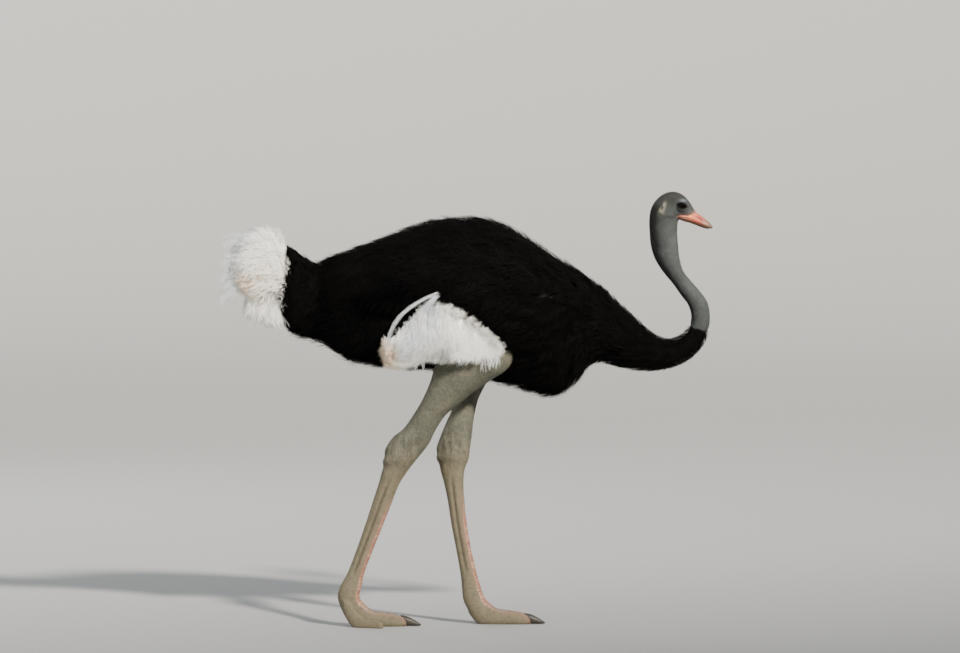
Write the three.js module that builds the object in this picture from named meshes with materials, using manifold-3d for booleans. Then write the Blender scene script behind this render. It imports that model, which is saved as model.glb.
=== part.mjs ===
// A male ostrich of the blue-grey necked kind, life size, caught in mid stride as a still display model.
//
// Millimetres, +Z up, +X towards the bill and +Y to the bird's left. The floor is z = 0. The origin lies
// on it, below the back, midway between the ends of the tail plumes and the bill.
//
// Every form is drawn through sections. A section is cut straight across the bird, so it is given by the
// two points where the side outline crosses it, [x, z] each, with its width across and where its middle
// lies across. Neighbouring lengths of one form share a section, with a hair gap between their ends.
import * as THREE from "three";
import { mergeVertices } from "three/addons/utils/BufferGeometryUtils.js";
import Module from "manifold-3d";

const wasm = await Module();
wasm.setup();

// ---- driving sizes ----
const gap = 0.5; // left between neighbouring pieces
const backHeight = 1350;
const noseX = 816; // bill tip
const tailX = -818; // ends of the tail plumes
const eyeDiameter = 44;
const eyeSpacing = 48; // between the middles of the two eyes
const wingReach = 300; // from the middle of the bird to the outside of a folded wing
const wingPlumeReach = 300; // from the middle of the bird to the outside of the wing's plumes
const toeLength = 196; // big toe, from its joint to the root of its claw
const soleSink = 6; // how far a pad would reach below the floor before it is pressed flat

// ---- drawing and cutting tools ----

// One section: a and b are the outline's two points [x, z].
const section = (a, b, width, { y = 0, square = 2, swing = 0 } = {}) => ({ a, b, width, y, square, swing });

// Smooth curves through a list of sections, read at t from 0 to sections.length - 1.
function outlines(sections) {
  const last = sections.length - 1;
  const through = (values) => new THREE.CatmullRomCurve3(values.map((v) => new THREE.Vector3(...v)));
  const a = through(sections.map((s) => [s.a[0], s.y, s.a[1]]));
  const b = through(sections.map((s) => [s.b[0], s.y, s.b[1]]));
  const sizes = through(sections.map((s) => [s.width, s.square, s.swing]));
  return (t) => {
    const u = THREE.MathUtils.clamp(t / last, 0, 1);
    const from = a.getPoint(u);
    const to = b.getPoint(u);
    const [width, square, swing] = sizes.getPoint(u).toArray();
    return {
      middle: from.clone().add(to).multiplyScalar(0.5),
      half: from.clone().sub(to).multiplyScalar(0.5), // towards outline a
      width,
      square,
      swing,
    };
  };
}

const bend = (value, square) => Math.sign(value) * Math.abs(value) ** (2 / square);

// A sphere drawn out along the sections from t = from to t = to: each ring of it becomes one section.
function loft(sections, { rings, around, from = 0, to = sections.length - 1, inset = [0, 0], relief = null }) {
  const at = outlines(sections);
  const geometry = new THREE.SphereGeometry(1, around, rings + 1);
  const position = geometry.getAttribute("position");
  const place = new THREE.Vector3();
  const travel = at(from + 0.5).middle.sub(at(from).middle);
  const across = new THREE.Vector3(0, 1, 0);
  if (across.clone().cross(at(from).half).dot(travel) < 0) across.negate();
  for (let i = 0; i < position.count; i++) {
    const polar = Math.acos(THREE.MathUtils.clamp(position.getY(i), -1, 1));
    const ring = Math.round((polar / Math.PI) * (rings + 1));
    const share = THREE.MathUtils.clamp((ring - 1) / (rings - 1), 0, 1);
    const t = THREE.MathUtils.lerp(from, to, share);
    const s = at(t);
    const onRing = ring > 0 && ring <= rings;
    const angle = Math.atan2(position.getZ(i), -position.getX(i));
    const swell = relief ? relief(share, angle) : 1;
    place.copy(s.middle);
    if (onRing) {
      const lift = bend(Math.cos(angle), s.square) + s.swing * Math.sin(angle) ** 2;
      place.addScaledVector(s.half, lift * swell);
      place.addScaledVector(across, bend(Math.sin(angle), s.square) * (s.width / 2) * swell);
    }
    const onward = across.clone().cross(s.half).normalize();
    if (share === 0) place.addScaledVector(onward, inset[0]);
    if (share === 1) place.addScaledVector(onward, -inset[1]);
    position.setXYZ(i, place.x, place.y, place.z);
  }
  return welded(geometry);
}

// The geometry with only positions left and shared vertices merged.
function welded(geometry) {
  geometry.deleteAttribute("normal");
  geometry.deleteAttribute("uv");
  return mergeVertices(geometry, 1e-3);
}

// The same geometry with each face moved out by the gap, to cut a neighbour with. A vertex moves further
// the sharper its corner is.
function swollen(geometry, by = gap) {
  const grown = geometry.clone();
  const position = grown.getAttribute("position");
  const corners = Array.from({ length: position.count }, (_, i) =>
    new THREE.Vector3().fromBufferAttribute(position, i),
  );
  const facings = corners.map(() => []);
  for (let f = 0; f < grown.index.count; f += 3) {
    const [i, j, k] = [0, 1, 2].map((n) => grown.index.getX(f + n));
    const along = corners[j].clone().sub(corners[i]);
    const facing = along.cross(corners[k].clone().sub(corners[i])).normalize();
    for (const n of [i, j, k]) facings[n].push(facing);
  }
  corners.forEach((corner, i) => {
    const out = new THREE.Vector3();
    for (const facing of facings[i]) out.add(facing);
    out.normalize();
    const sharpest = Math.min(...facings[i].map((facing) => facing.dot(out)));
    corner.addScaledVector(out, by / Math.max(sharpest, 0.25));
    position.setXYZ(i, corner.x, corner.y, corner.z);
  });
  return grown;
}

function solidOf(geometry) {
  const vertProperties = new Float32Array(geometry.getAttribute("position").array);
  const triVerts = new Uint32Array(geometry.index.array);
  const solid = new wasm.Manifold(new wasm.Mesh({ numProp: 3, vertProperties, triVerts }));
  if (solid.volume() > 0) return solid;
  for (let i = 0; i < triVerts.length; i += 3) {
    [triVerts[i + 1], triVerts[i + 2]] = [triVerts[i + 2], triVerts[i + 1]];
  }
  return new wasm.Manifold(new wasm.Mesh({ numProp: 3, vertProperties, triVerts }));
}

function geometryOf(solid) {
  const mesh = solid.getMesh();
  const geometry = new THREE.BufferGeometry();
  const corners = new Float32Array(mesh.numVert * 3);
  for (let i = 0; i < mesh.numVert; i++) {
    corners.set(mesh.vertProperties.subarray(i * mesh.numProp, i * mesh.numProp + 3), i * 3);
  }
  geometry.setAttribute("position", new THREE.BufferAttribute(corners, 3));
  geometry.setIndex(new THREE.BufferAttribute(new Uint32Array(mesh.triVerts), 1));
  return geometry;
}

// The form less its neighbours, each swollen by the gap. Crumbs that the cuts leave are dropped.
function cutClear(geometry, neighbours) {
  let solid = solidOf(geometry);
  for (const neighbour of neighbours) solid = solid.subtract(solidOf(swollen(neighbour)));
  const largest = solid.decompose().sort((p, q) => q.volume() - p.volume())[0];
  return geometryOf(largest);
}

// What of a form is above the floor, with its underside pressed flat.
function aboveFloor(geometry) {
  const room = new THREE.BoxGeometry(4000, 4000, 2000).translate(0, 0, 1000);
  return geometryOf(solidOf(geometry).intersect(solidOf(welded(room))));
}

const mirrored = (sections) => sections.map((s) => ({ ...s, y: -s.y }));

// ---- trunk, neck and head: one line of sections from the rump to the face ----
const spine = [
  section([-500, 1150], [-492, 990], 90, { square: 2.1 }),
  section([-478, 1196], [-466, 946], 200, { square: 2.1 }),
  section([-414, 1231], [-398, 888], 300, { square: 2.1 }),
  section([-315, 1266], [-315, 866], 372, { square: 2.15 }),
  section([-216, 1304], [-216, 856], 424, { square: 2.15, swing: 0.04 }),
  section([-114, 1337], [-112, 845], 456, { square: 2.2, swing: 0.06 }),
  section([-14, backHeight], [-4, 832], 470, { square: 2.2, swing: 0.08 }),
  section([86, 1342], [102, 810], 470, { square: 2.15, swing: 0.08 }),
  section([170, 1308], [204, 780], 452, { square: 2.1, swing: 0.08 }),
  section([250, 1256], [296, 760], 410, { square: 2.05, swing: 0.06 }),
  section([330, 1202], [362, 800], 340, { square: 2, swing: 0.04 }),
  section([402, 1156], [408, 858], 262),
  section([462, 1112], [448, 872], 204),
  section([512, 1064], [492, 858], 166),
  section([556, 1024], [548, 845], 138),
  section([603, 980], [597, 841], 116),
  section([642, 955], [638, 843], 104),
  section([673, 949], [684, 852], 96),
  section([697, 955], [742, 880], 90),
  section([722, 971], [786, 926], 82),
  section([738, 995], [807, 980], 70), // the dark collar of feathers ends here
  section([742, 1028], [810, 1030], 64),
  section([732, 1060], [801, 1070], 61),
  section([711, 1089], [776, 1106], 60),
  section([682, 1130], [744, 1142], 60),
  section([648, 1172], [721, 1172], 63),
  section([623, 1213], [709, 1213], 69),
  section([610, 1256], [704, 1256], 74),
  section([606, 1300], [701, 1296], 76),
  section([605, 1342], [701, 1316], 76), // nape, where the head begins
  section([612, 1380], [702, 1330], 78, { swing: 0.1 }),
  section([632, 1410], [704, 1338], 80, { square: 2.1, swing: 0.2 }),
  section([662, 1430], [709, 1342], 82, { square: 2.15, swing: 0.24 }),
  section([693, 1433], [716, 1343], 84, { square: 2.2, swing: 0.3 }),
  section([720, 1421], [724, 1343], 80, { square: 2.2, swing: 0.26 }),
  section([740, 1400], [732, 1341], 62, { square: 2.1, swing: 0.1 }),
  section([751, 1382], [740, 1342], 42, { swing: 0 }),
  section([760, 1368], [750, 1350], 18, { swing: 0 }),
];
const trunkEnd = 12; // sections where one length ends and the next begins
const collarEnd = 20;
const neckMiddle = 24;
const nape = 29;
const hair = gap / 2;

const trunk = loft(spine, { rings: 23, around: 20, from: 0, to: trunkEnd, inset: [0, hair] });
const neckBase = loft(spine, { rings: 12, around: 16, from: trunkEnd, to: collarEnd, inset: [hair, hair] });
const neckLower = loft(spine, { rings: 6, around: 16, from: collarEnd, to: neckMiddle, inset: [hair, hair] });
const neckUpper = loft(spine, { rings: 7, around: 16, from: neckMiddle, to: nape, inset: [hair, hair] });
const headForm = loft(spine, { rings: 12, around: 18, from: nape, inset: [hair, 0] });

// ---- bill and eyes ----
const upperBillForm = loft(
  [
    section([702, 1358], [700, 1350], 48),
    section([716, 1361], [712, 1348], 54, { swing: -0.3 }),
    section([738, 1372], [734, 1342], 48, { swing: -0.35 }),
    section([764, 1362], [758, 1333], 40, { swing: -0.35 }),
    section([783, 1350], [778, 1326], 35, { swing: -0.3 }),
    section([798, 1337], [794, 1319], 29, { square: 2.2, swing: -0.2 }),
    section([810, 1325], [807, 1314], 20, { square: 2.2 }),
    section([noseX, 1318], [815, 1314], 6),
  ],
  { rings: 11, around: 12 },
);
const lowerBillForm = loft(
  [
    section([699, 1362], [700, 1342], 46),
    section([712, 1358], [716, 1334], 52, { swing: 0.2 }),
    section([734, 1354], [738, 1328], 47, { swing: 0.2 }),
    section([758, 1346], [759, 1321], 40, { swing: 0.2 }),
    section([779, 1337], [779, 1315], 33, { swing: 0.2 }),
    section([794, 1328], [794, 1311], 25, { swing: 0.2 }),
    section([805, 1320], [804, 1310], 14, { swing: 0.2 }),
  ],
  { rings: 9, around: 12 },
);
const eyeForm = (side) =>
  welded(
    new THREE.SphereGeometry(eyeDiameter / 2, 12, 9).translate(713, (side * eyeSpacing) / 2, 1388),
  );
const eyes = { right: eyeForm(-1), left: eyeForm(1) };
const billLower = cutClear(lowerBillForm, [upperBillForm]);
const head = cutClear(headForm, [upperBillForm, lowerBillForm, eyes.right, eyes.left]);

// ---- tail: dark coverts that flare from the rump, then a ball of drooping white plumes ----
const tailForm = [
  section([-466, 1192], [-462, 956], 190),
  section([-486, 1186], [-484, 952], 178),
  section([-514, 1200], [-510, 956], 176),
  section([-546, 1240], [-540, 968], 196),
  section([-576, 1268], [-572, 982], 222),
  section([-600, 1272], [-598, 992], 236),
];
const tailCovertsForm = loft(tailForm, { rings: 6, around: 20 });
const plumeLobes = 10;
// Drooping plumes gather into lobes round the tail, deepest at their tips.
const tailLobes = (share, angle) => 1 - 0.075 * share * (0.5 + 0.5 * Math.cos(plumeLobes * angle)) ** 2;
const tailPlumesForm = loft(
  [
    section([-582, 1240], [-578, 1008], 180),
    section([-598, 1286], [-590, 1006], 236),
    section([-636, 1318], [-622, 1002], 272),
    section([-684, 1326], [-664, 1006], 286, { square: 2.1 }),
    section([-736, 1316], [-716, 1024], 276, { square: 2.1 }),
    section([-784, 1284], [-768, 1060], 226),
    section([-811, 1236], [-800, 1112], 140),
    section([tailX, 1196], [-814, 1150], 50),
  ],
  { rings: 9, around: 30, relief: tailLobes },
);
const tailCoverts = cutClear(tailCovertsForm, [trunk]);
const tailPlumes = cutClear(tailPlumesForm, [tailCovertsForm, trunk]);

// ---- legs: drumstick, shank and two toes each ----
// The right leg pushes off behind, and the left one carries the weight.
const rightLeg = [
  section([20, 1060], [190, 980], 90, { y: -140 }),
  section([-48, 980], [166, 896], 136, { y: -146 }),
  section([-90, 900], [134, 850], 150, { y: -140 }),
  section([-106, 846], [92, 822], 148, { y: -130 }),
  section([-116, 812], [40, 786], 136, { y: -122 }),
  section([-142, 752], [-20, 738], 118, { y: -108 }),
  section([-178, 692], [-66, 698], 100, { y: -98 }),
  section([-206, 654], [-100, 646], 88, { y: -90 }),
  section([-240, 626], [-118, 608], 84, { y: -84 }),
  section([-262, 590], [-138, 580], 86, { y: -80 }),
  section([-270, 556], [-160, 552], 86, { y: -78 }), // hock
  section([-274, 520], [-190, 514], 76, { y: -76 }),
  section([-286, 476], [-214, 478], 60, { y: -73 }),
  section([-302, 426], [-238, 422], 50, { y: -70 }),
  section([-330, 340], [-272, 336], 44, { y: -67 }),
  section([-362, 248], [-308, 246], 42, { y: -63 }),
  section([-392, 172], [-336, 170], 46, { y: -61 }),
  section([-416, 128], [-350, 118], 58, { y: -60 }),
  section([-424, 104], [-358, 88], 62, { y: -60 }),
  section([-408, 88], [-374, 76], 40, { y: -60 }),
];
const leftLeg = [
  section([0, 1140], [186, 1060], 90, { y: 140 }),
  section([-40, 1000], [150, 968], 136, { y: 146 }),
  section([-58, 904], [112, 894], 146, { y: 134 }),
  section([-56, 820], [78, 812], 136, { y: 120 }),
  section([-52, 752], [44, 744], 116, { y: 106 }),
  section([-48, 708], [32, 698], 100, { y: 96 }),
  section([-64, 668], [26, 664], 90, { y: 86 }),
  section([-82, 626], [22, 624], 86, { y: 78 }),
  section([-94, 590], [16, 584], 86, { y: 72 }),
  section([-97, 558], [12, 548], 86, { y: 68 }), // hock
  section([-86, 516], [-2, 510], 74, { y: 64 }),
  section([-74, 474], [-6, 472], 58, { y: 60 }),
  section([-61, 415], [-4, 414], 50, { y: 56 }),
  section([-48, 332], [4, 331], 44, { y: 50 }),
  section([-30, 238], [20, 238], 42, { y: 46 }),
  section([-16, 156], [40, 156], 46, { y: 43 }),
  section([-12, 112], [54, 104], 58, { y: 42 }),
  section([-10, 84], [52, 70], 62, { y: 42 }),
  section([4, 64], [38, 58], 40, { y: 42 }),
];
const legs = {
  right: { side: -1, sections: rightLeg, hock: 10, joint: [-388, 106], y: -60 },
  left: { side: 1, sections: leftLeg, hock: 9, joint: [22, 84], y: 42 },
};

// A toe runs along +X from its joint and sinks soleSink below the floor. Its root climbs to the joint.
function toeForm({ joint, y, length, width, height, turn }) {
  const [x, rise] = joint;
  const station = (share, top, bottom, wide) =>
    section([x + share * length, top], [x + share * length - (share < 0.2 ? 14 : 0), bottom], width * wide, {
      y,
      square: 2.3,
    });
  const form = loft(
    [
      station(-0.12, rise + 6, rise - 14, 0.6),
      station(0.06, rise + 2, rise * 0.36, 0.94),
      station(0.24, rise * 0.56 + height * 0.42, -soleSink, 1.04),
      station(0.44, height * 1.12, -soleSink, 1),
      station(0.64, height, -soleSink, 0.96),
      station(0.82, height * 0.86, -soleSink, 0.92),
      station(0.95, height * 0.62, -soleSink * 0.8, 0.74),
      station(1, height * 0.36, height * 0.08, 0.36),
    ],
    { rings: 8, around: 12 },
  );
  return form.translate(-x, -y, 0).rotateZ(turn).translate(x, y, 0);
}

function clawForm({ joint, y, length, width, height, turn }) {
  const [x] = joint;
  const root = x + 0.8 * length;
  const form = loft(
    [
      section([root, height * 0.7], [root, height * 0.3], width * 0.24, { y }),
      section([root + 14, height * 0.8], [root + 14, height * 0.14], width * 0.44, { y }),
      section([root + 34, height * 0.74], [root + 34, 2], width * 0.46, { y }),
      section([root + 58, height * 0.5], [root + 58, 1.5], width * 0.38, { y }),
      section([root + 78, height * 0.24], [root + 77, 1.5], width * 0.22, { y }),
      section([root + 86, 7], [root + 85, 2.5], width * 0.08, { y }),
    ],
    { rings: 6, around: 8 },
  );
  return form.translate(-x, -y, 0).rotateZ(turn).translate(x, y, 0);
}

function makeLeg({ side, sections, hock, joint, y }) {
  const drumstick = loft(sections, { rings: 10, around: 13, from: 0, to: hock, inset: [0, hair] });
  const shank = loft(sections, { rings: 10, around: 12, from: hock, inset: [hair, 0] });
  const big = { joint, y: y - side * 8, length: toeLength, width: 58, height: 44, turn: side * -0.03 };
  const small = { joint, y: y + side * 24, length: toeLength * 0.66, width: 33, height: 31, turn: side * 0.42 };
  const bigForm = toeForm(big);
  const smallForm = toeForm(small);
  const claw = clawForm(big);
  return {
    drumstick,
    shank,
    bigToe: aboveFloor(cutClear(bigForm, [shank, claw])),
    smallToe: aboveFloor(cutClear(smallForm, [shank, bigForm])),
    claw,
  };
}
const made = { right: makeLeg(legs.right), left: makeLeg(legs.left) };

// ---- wings: a folded wing of dark coverts on each flank, with white plumes below and behind it ----
const wingMiddle = wingReach - 110;
const wingSections = [
  section([412, 1108], [404, 1016], 90, { y: wingMiddle - 94 }),
  section([352, 1148], [338, 944], 160, { y: wingMiddle - 56 }),
  section([262, 1188], [250, 904], 202, { y: wingMiddle - 28 }),
  section([164, 1218], [148, 918], 216, { y: wingMiddle - 10 }),
  section([64, 1238], [54, 974], 222, { y: wingMiddle - 1 }),
  section([-44, 1238], [-50, 1050], 220, { y: wingMiddle }),
  section([-150, 1214], [-156, 1056], 210, { y: wingMiddle - 6 }),
  section([-242, 1182], [-248, 1036], 190, { y: wingMiddle - 20 }),
  section([-322, 1136], [-325, 1036], 150, { y: wingMiddle - 40 }),
  section([-364, 1102], [-364, 1062], 80, { y: wingMiddle - 53 }),
];
const plumeMiddle = wingPlumeReach - 76;
const fringeLobes = 9;
// The plumes hang in locks, so that the lower edge is scalloped.
const fringe = (share, angle) =>
  1 - 0.09 * Math.max(0, -Math.cos(angle)) * (0.5 + 0.5 * Math.cos(2 * Math.PI * fringeLobes * share));
const plumeSections = [
  section([-264, 928], [-264, 886], 60, { y: plumeMiddle - 44 }),
  section([-247, 992], [-247, 852], 112, { y: plumeMiddle - 26 }),
  section([-210, 1046], [-210, 845], 134, { y: plumeMiddle - 12 }),
  section([-157, 1082], [-157, 868], 144, { y: plumeMiddle - 4 }),
  section([-100, 1106], [-98, 874], 152, { y: plumeMiddle }),
  section([-44, 1080], [-42, 864], 152, { y: plumeMiddle }),
  section([15, 1040], [15, 858], 148, { y: plumeMiddle - 2 }),
  section([71, 998], [71, 864], 132, { y: plumeMiddle - 6 }),
  section([110, 970], [110, 898], 92, { y: plumeMiddle - 14 }),
  section([131, 948], [131, 926], 42, { y: plumeMiddle - 22 }),
];

function makeWing(side, drumstick) {
  const place = (sections) => (side > 0 ? sections : mirrored(sections));
  const wingForm = loft(place(wingSections), { rings: 11, around: 16 });
  const plumeForm = loft(place(plumeSections), { rings: 17, around: 10, relief: fringe });
  return {
    whole: wingForm,
    wing: cutClear(wingForm, [trunk]),
    plumes: cutClear(plumeForm, [trunk, wingForm, drumstick]),
  };
}
const wings = {
  right: makeWing(-1, made.right.drumstick),
  left: makeWing(1, made.left.drumstick),
};

// ---- the bird, put together ----
const finish = (color, roughness) => new THREE.MeshStandardMaterial({ color, roughness, metalness: 0 });
const darkPlumage = finish(0x0d0b0b, 0.85);
const whitePlumage = finish(0xe9e6da, 0.9);
const greySkin = finish(0x6f7473, 0.7);
const horn = finish(0xd0705c, 0.45);
const claws = finish(0x3a3430, 0.5);
const eyeBrown = finish(0x1c120c, 0.05);

const bird = new THREE.Group();
function add(name, geometry, material) {
  const mesh = new THREE.Mesh(geometry, material);
  mesh.name = name;
  bird.add(mesh);
}

add("trunk", trunk, darkPlumage);
add("neck_base", neckBase, darkPlumage);
add("neck_lower", neckLower, greySkin);
add("neck_upper", neckUpper, greySkin);
add("head", head, greySkin);
add("bill_upper", upperBillForm, horn);
add("bill_lower", billLower, horn);
add("tail_coverts", tailCoverts, darkPlumage);
add("tail_plumes", tailPlumes, whitePlumage);
for (const name of ["right", "left"]) {
  const leg = made[name];
  add(`eye_${name}`, eyes[name], eyeBrown);
  add(`wing_${name}`, wings[name].wing, darkPlumage);
  add(`wing_plumes_${name}`, wings[name].plumes, whitePlumage);
  add(`drumstick_${name}`, cutClear(leg.drumstick, [trunk, wings[name].whole]), greySkin);
  add(`shank_${name}`, leg.shank, greySkin);
  add(`toe_big_${name}`, leg.bigToe, greySkin);
  add(`toe_small_${name}`, leg.smallToe, greySkin);
  add(`claw_${name}`, leg.claw, claws);
}

export default bird;
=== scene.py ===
import bpy
import bmesh
import math
import numpy as np
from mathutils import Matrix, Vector
from mathutils.bvhtree import BVHTree
from mathutils.kdtree import KDTree


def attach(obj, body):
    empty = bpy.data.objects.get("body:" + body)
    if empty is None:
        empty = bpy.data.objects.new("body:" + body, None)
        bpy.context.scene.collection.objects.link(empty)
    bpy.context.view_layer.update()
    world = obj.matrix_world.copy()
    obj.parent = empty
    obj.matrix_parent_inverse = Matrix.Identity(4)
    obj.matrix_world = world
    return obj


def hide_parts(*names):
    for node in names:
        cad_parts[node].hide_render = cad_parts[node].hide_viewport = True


# A walking male ostrich, life size. Outlines are in millimetres, as x, z pairs seen from the side.
# Meshes are in metres.
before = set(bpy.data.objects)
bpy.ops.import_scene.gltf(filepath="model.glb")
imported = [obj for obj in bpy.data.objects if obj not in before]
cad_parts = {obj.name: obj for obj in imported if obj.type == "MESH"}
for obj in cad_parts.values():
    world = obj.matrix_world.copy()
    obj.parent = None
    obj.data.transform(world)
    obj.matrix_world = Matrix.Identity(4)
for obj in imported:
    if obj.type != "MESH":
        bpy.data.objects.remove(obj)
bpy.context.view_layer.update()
mm = 0.001
chance = np.random.default_rng(48)


view = {
    "distance": 20.0,
    "eyeHeight": 1.834,
    "aim": (0.048, 0, 0.988),
    "wideAtBird": 3.168,  # metres across the picture at the bird
    "farClip": 200,
}


def placeCamera():
    camera = bpy.data.cameras.new("sideCamera")
    camera.lens = camera.sensor_width * view["distance"] / view["wideAtBird"]
    camera.clip_end = view["farClip"]
    holder = bpy.data.objects.new("sideCamera", camera)
    holder.location = (view["aim"][0], -view["distance"], view["eyeHeight"])
    point(holder, view["aim"])
    bpy.context.scene.camera = holder


def point(holder, target):
    toTarget = Vector(target) - holder.location
    holder.rotation_euler = toTarget.to_track_quat("-Z", "Y").to_euler()
    bpy.context.scene.collection.objects.link(holder)


studio = {
    "sun": {"from": (0.52, -0.84, 0.62), "strength": 8.6, "spread": 5, "tint": (1.0, 0.95, 0.87)},
    "fill": {"at": (-6.0, -6.0, 3.0), "size": 5.0, "watts": 260, "tint": (0.86, 0.93, 1.0)},
    "rim": {"at": (-3.5, 6.0, 5.0), "size": 4.0, "watts": 250, "tint": (0.92, 0.96, 1.0)},
    "lit": (0, 0, 0.9),  # the place that every lamp points at
    "sunDistance": 12,
    "room": (0.78, 0.83, 0.90),
    "roomStrength": 0.60,
    "sweepRadius": 30.0,
    "sweepHeight": 16.0,
    "flatShare": 0.6,  # share of the floor's radius before it sweeps up
    "sweepSteps": 12,
    "turns": 96,
    "floorTint": (0.37, 0.367, 0.357),
    "floorRoughness": 0.95,
}


def addLamp(name, kind, at):
    light = bpy.data.lights.new(name, kind)
    holder = bpy.data.objects.new(name, light)
    holder.location = at
    point(holder, studio["lit"])
    return light


def lightStudio():
    sun = studio["sun"]
    light = addLamp("sun", "SUN", Vector(sun["from"]) * studio["sunDistance"])
    light.energy = sun["strength"]
    light.angle = math.radians(sun["spread"])
    light.color = sun["tint"]
    for name in ("fill", "rim"):
        lamp = studio[name]
        light = addLamp(name, "AREA", lamp["at"])
        light.shape = "DISK"
        light.size = lamp["size"]
        light.energy = lamp["watts"]
        light.color = lamp["tint"]
        bpy.data.objects[name].visible_glossy = False
    world = bpy.data.worlds.new("paleRoom")
    world.use_nodes = True
    sky = world.node_tree.nodes["Background"]
    sky.inputs["Color"].default_value = (*studio["room"], 1)
    sky.inputs["Strength"].default_value = studio["roomStrength"]
    bpy.context.scene.world = world


# a round floor that sweeps up to a low wall on every side
def layFloor():
    bm = bmesh.new()
    reach, height = studio["sweepRadius"], studio["sweepHeight"]
    flat, steps = studio["flatShare"], studio["sweepSteps"]
    profile = [bm.verts.new((0, 0, 0)), bm.verts.new((reach * 0.5, 0, 0))]
    for i in range(steps + 1):
        a = math.pi / 2 * i / steps
        out = reach * flat + reach * (1 - flat) * math.sin(a)
        profile.append(bm.verts.new((out, 0, height * (1 - math.cos(a)))))
    edges = [bm.edges.new((p, q)) for p, q in zip(profile, profile[1:])]
    bmesh.ops.spin(
        bm, geom=profile + edges, axis=(0, 0, 1), cent=(0, 0, 0),
        steps=studio["turns"], angle=math.tau, use_merge=True, use_duplicate=False,
    )
    bmesh.ops.remove_doubles(bm, verts=bm.verts, dist=1e-4)
    bmesh.ops.recalc_face_normals(bm, faces=bm.faces)
    floor = meshPiece(bm, "floor")
    pale, _, _ = startMaterial(
        "paleFloor", Base_Color=(*studio["floorTint"], 1), Roughness=studio["floorRoughness"],
    )
    floor.data.materials.append(pale)


def paint(piece, name, values):
    layer = piece.data.attributes.new(name, "FLOAT", "POINT")
    layer.data.foreach_set("value", np.ascontiguousarray(values, dtype=np.float32))


def linked(name, mesh):
    mesh.shade_smooth()
    piece = bpy.data.objects.new(name, mesh)
    bpy.context.scene.collection.objects.link(piece)
    return piece


def meshPiece(bm, name):
    mesh = bpy.data.meshes.new(name)
    bm.to_mesh(mesh)
    bm.free()
    return linked(name, mesh)


def workMesh(piece):
    bm = bmesh.new()
    bm.from_mesh(piece.data)
    return bm


def soften(bm, verts, factor, times):
    for _ in range(times):
        bmesh.ops.smooth_vert(bm, verts=verts, factor=factor, use_axis_x=True, use_axis_y=True, use_axis_z=True)


# some mesh tools give faces in any order: this puts them in their points' order, so that each run is the same
def inOrder(bm):
    bm.verts.index_update()
    faces = []
    for face in bm.faces:
        points = [vert.index for vert in face.verts]
        first = points.index(min(points))
        faces.append(points[first:] + points[:first])
    mesh = bpy.data.meshes.new("inOrder")
    mesh.from_pydata([vert.co for vert in bm.verts], [], sorted(faces))
    bm.clear()
    bm.from_mesh(mesh)
    bpy.data.meshes.remove(mesh)


def settle(piece, material, slotName, *nodes):
    piece.data.materials.clear()
    piece.data.materials.append(material)
    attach(piece, "root")
    if nodes:
        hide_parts(*nodes)
    return piece


def applyModifiers(piece):
    graph = bpy.context.evaluated_depsgraph_get()
    done = bpy.data.meshes.new_from_object(piece.evaluated_get(graph))
    piece.modifiers.clear()
    piece.data = done


def positionsOf(mesh):
    flat = np.empty(len(mesh.vertices) * 3)
    mesh.vertices.foreach_get("co", flat)
    return flat.reshape(-1, 3)


def smoothstep(low, high, value):
    share = np.clip((value - low) / (high - low), 0, 1)
    return share * share * (3 - 2 * share)


def bump(centre, spread, value):
    return np.exp(-(((value - centre) / spread) ** 2))


def unit(vectors):
    return vectors / np.maximum(np.linalg.norm(vectors, axis=-1, keepdims=True), 1e-9)


# centripetal Catmull-Rom through points, read at t from 0 to len - 1
def curveThrough(points, t):
    points = np.asarray(points, float)
    last = len(points) - 1
    before = points[0] * 2 - points[1]
    after = points[-1] * 2 - points[-2]
    padded = np.vstack([before, points, after])
    t = np.clip(np.asarray(t, float), 0, last)
    i = np.minimum(t.astype(int), last - 1)
    w = (t - i)[..., None]
    p0, p1, p2, p3 = (padded[i + k] for k in range(4))
    pairs = ((p0, p1), (p1, p2), (p2, p3))
    d0, d1, d2 = (np.sqrt(np.linalg.norm(q - p, axis=-1, keepdims=True)) for p, q in pairs)
    d1 = np.where(d1 < 1e-4, 1, d1)
    d0 = np.where(d0 < 1e-4, d1, d0)
    d2 = np.where(d2 < 1e-4, d1, d2)
    m1 = ((p1 - p0) / d0 - (p2 - p0) / (d0 + d1) + (p2 - p1) / d1) * d1
    m2 = ((p2 - p1) / d1 - (p3 - p1) / (d1 + d2) + (p3 - p2) / d2) * d1
    h = w * w * (3 - 2 * w)
    return p1 * (1 - h) + p2 * h + m1 * (w * (1 - w) ** 2) - m2 * (w * w * (1 - w))


# one cut across a form: a and b are its ends in side view, square shapes its corners and swing leans them
def section(ax, az, bx, bz, width, y=0, square=2.0, swing=0.0):
    return (ax, y, az), (bx, y, bz), (width, square, swing)


def sections(*rows):
    return [section(*row) for row in rows]


def bend(value, square):
    return np.sign(value) * np.abs(value) ** (2 / square)


# points on a form in millimetres: angle 0 is outline a, pi is outline b; sink goes below the surface
def surfacePoint(form, t, angle, sink=0.0):
    a, b, sizes = (curveThrough([s[k] for s in form], t) for k in range(3))
    middle = (a + b) / 2
    half = (a - b) / 2
    reach = np.linalg.norm(half, axis=-1)
    width, square, swing = sizes[..., 0], sizes[..., 1], sizes[..., 2]
    lift = bend(np.cos(angle), square) + swing * np.sin(angle) ** 2
    lift = lift * np.maximum(1 - sink / np.maximum(reach, 1e-6), 0.06)
    side = bend(np.sin(angle), square) * np.maximum(width / 2 - sink, width * 0.03)
    point = middle + half * lift[..., None]
    point[..., 1] += side
    return point


def placeVerts(bm, place):
    for vert, spot in zip(bm.verts, place * mm):
        vert.co = spot


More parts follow.
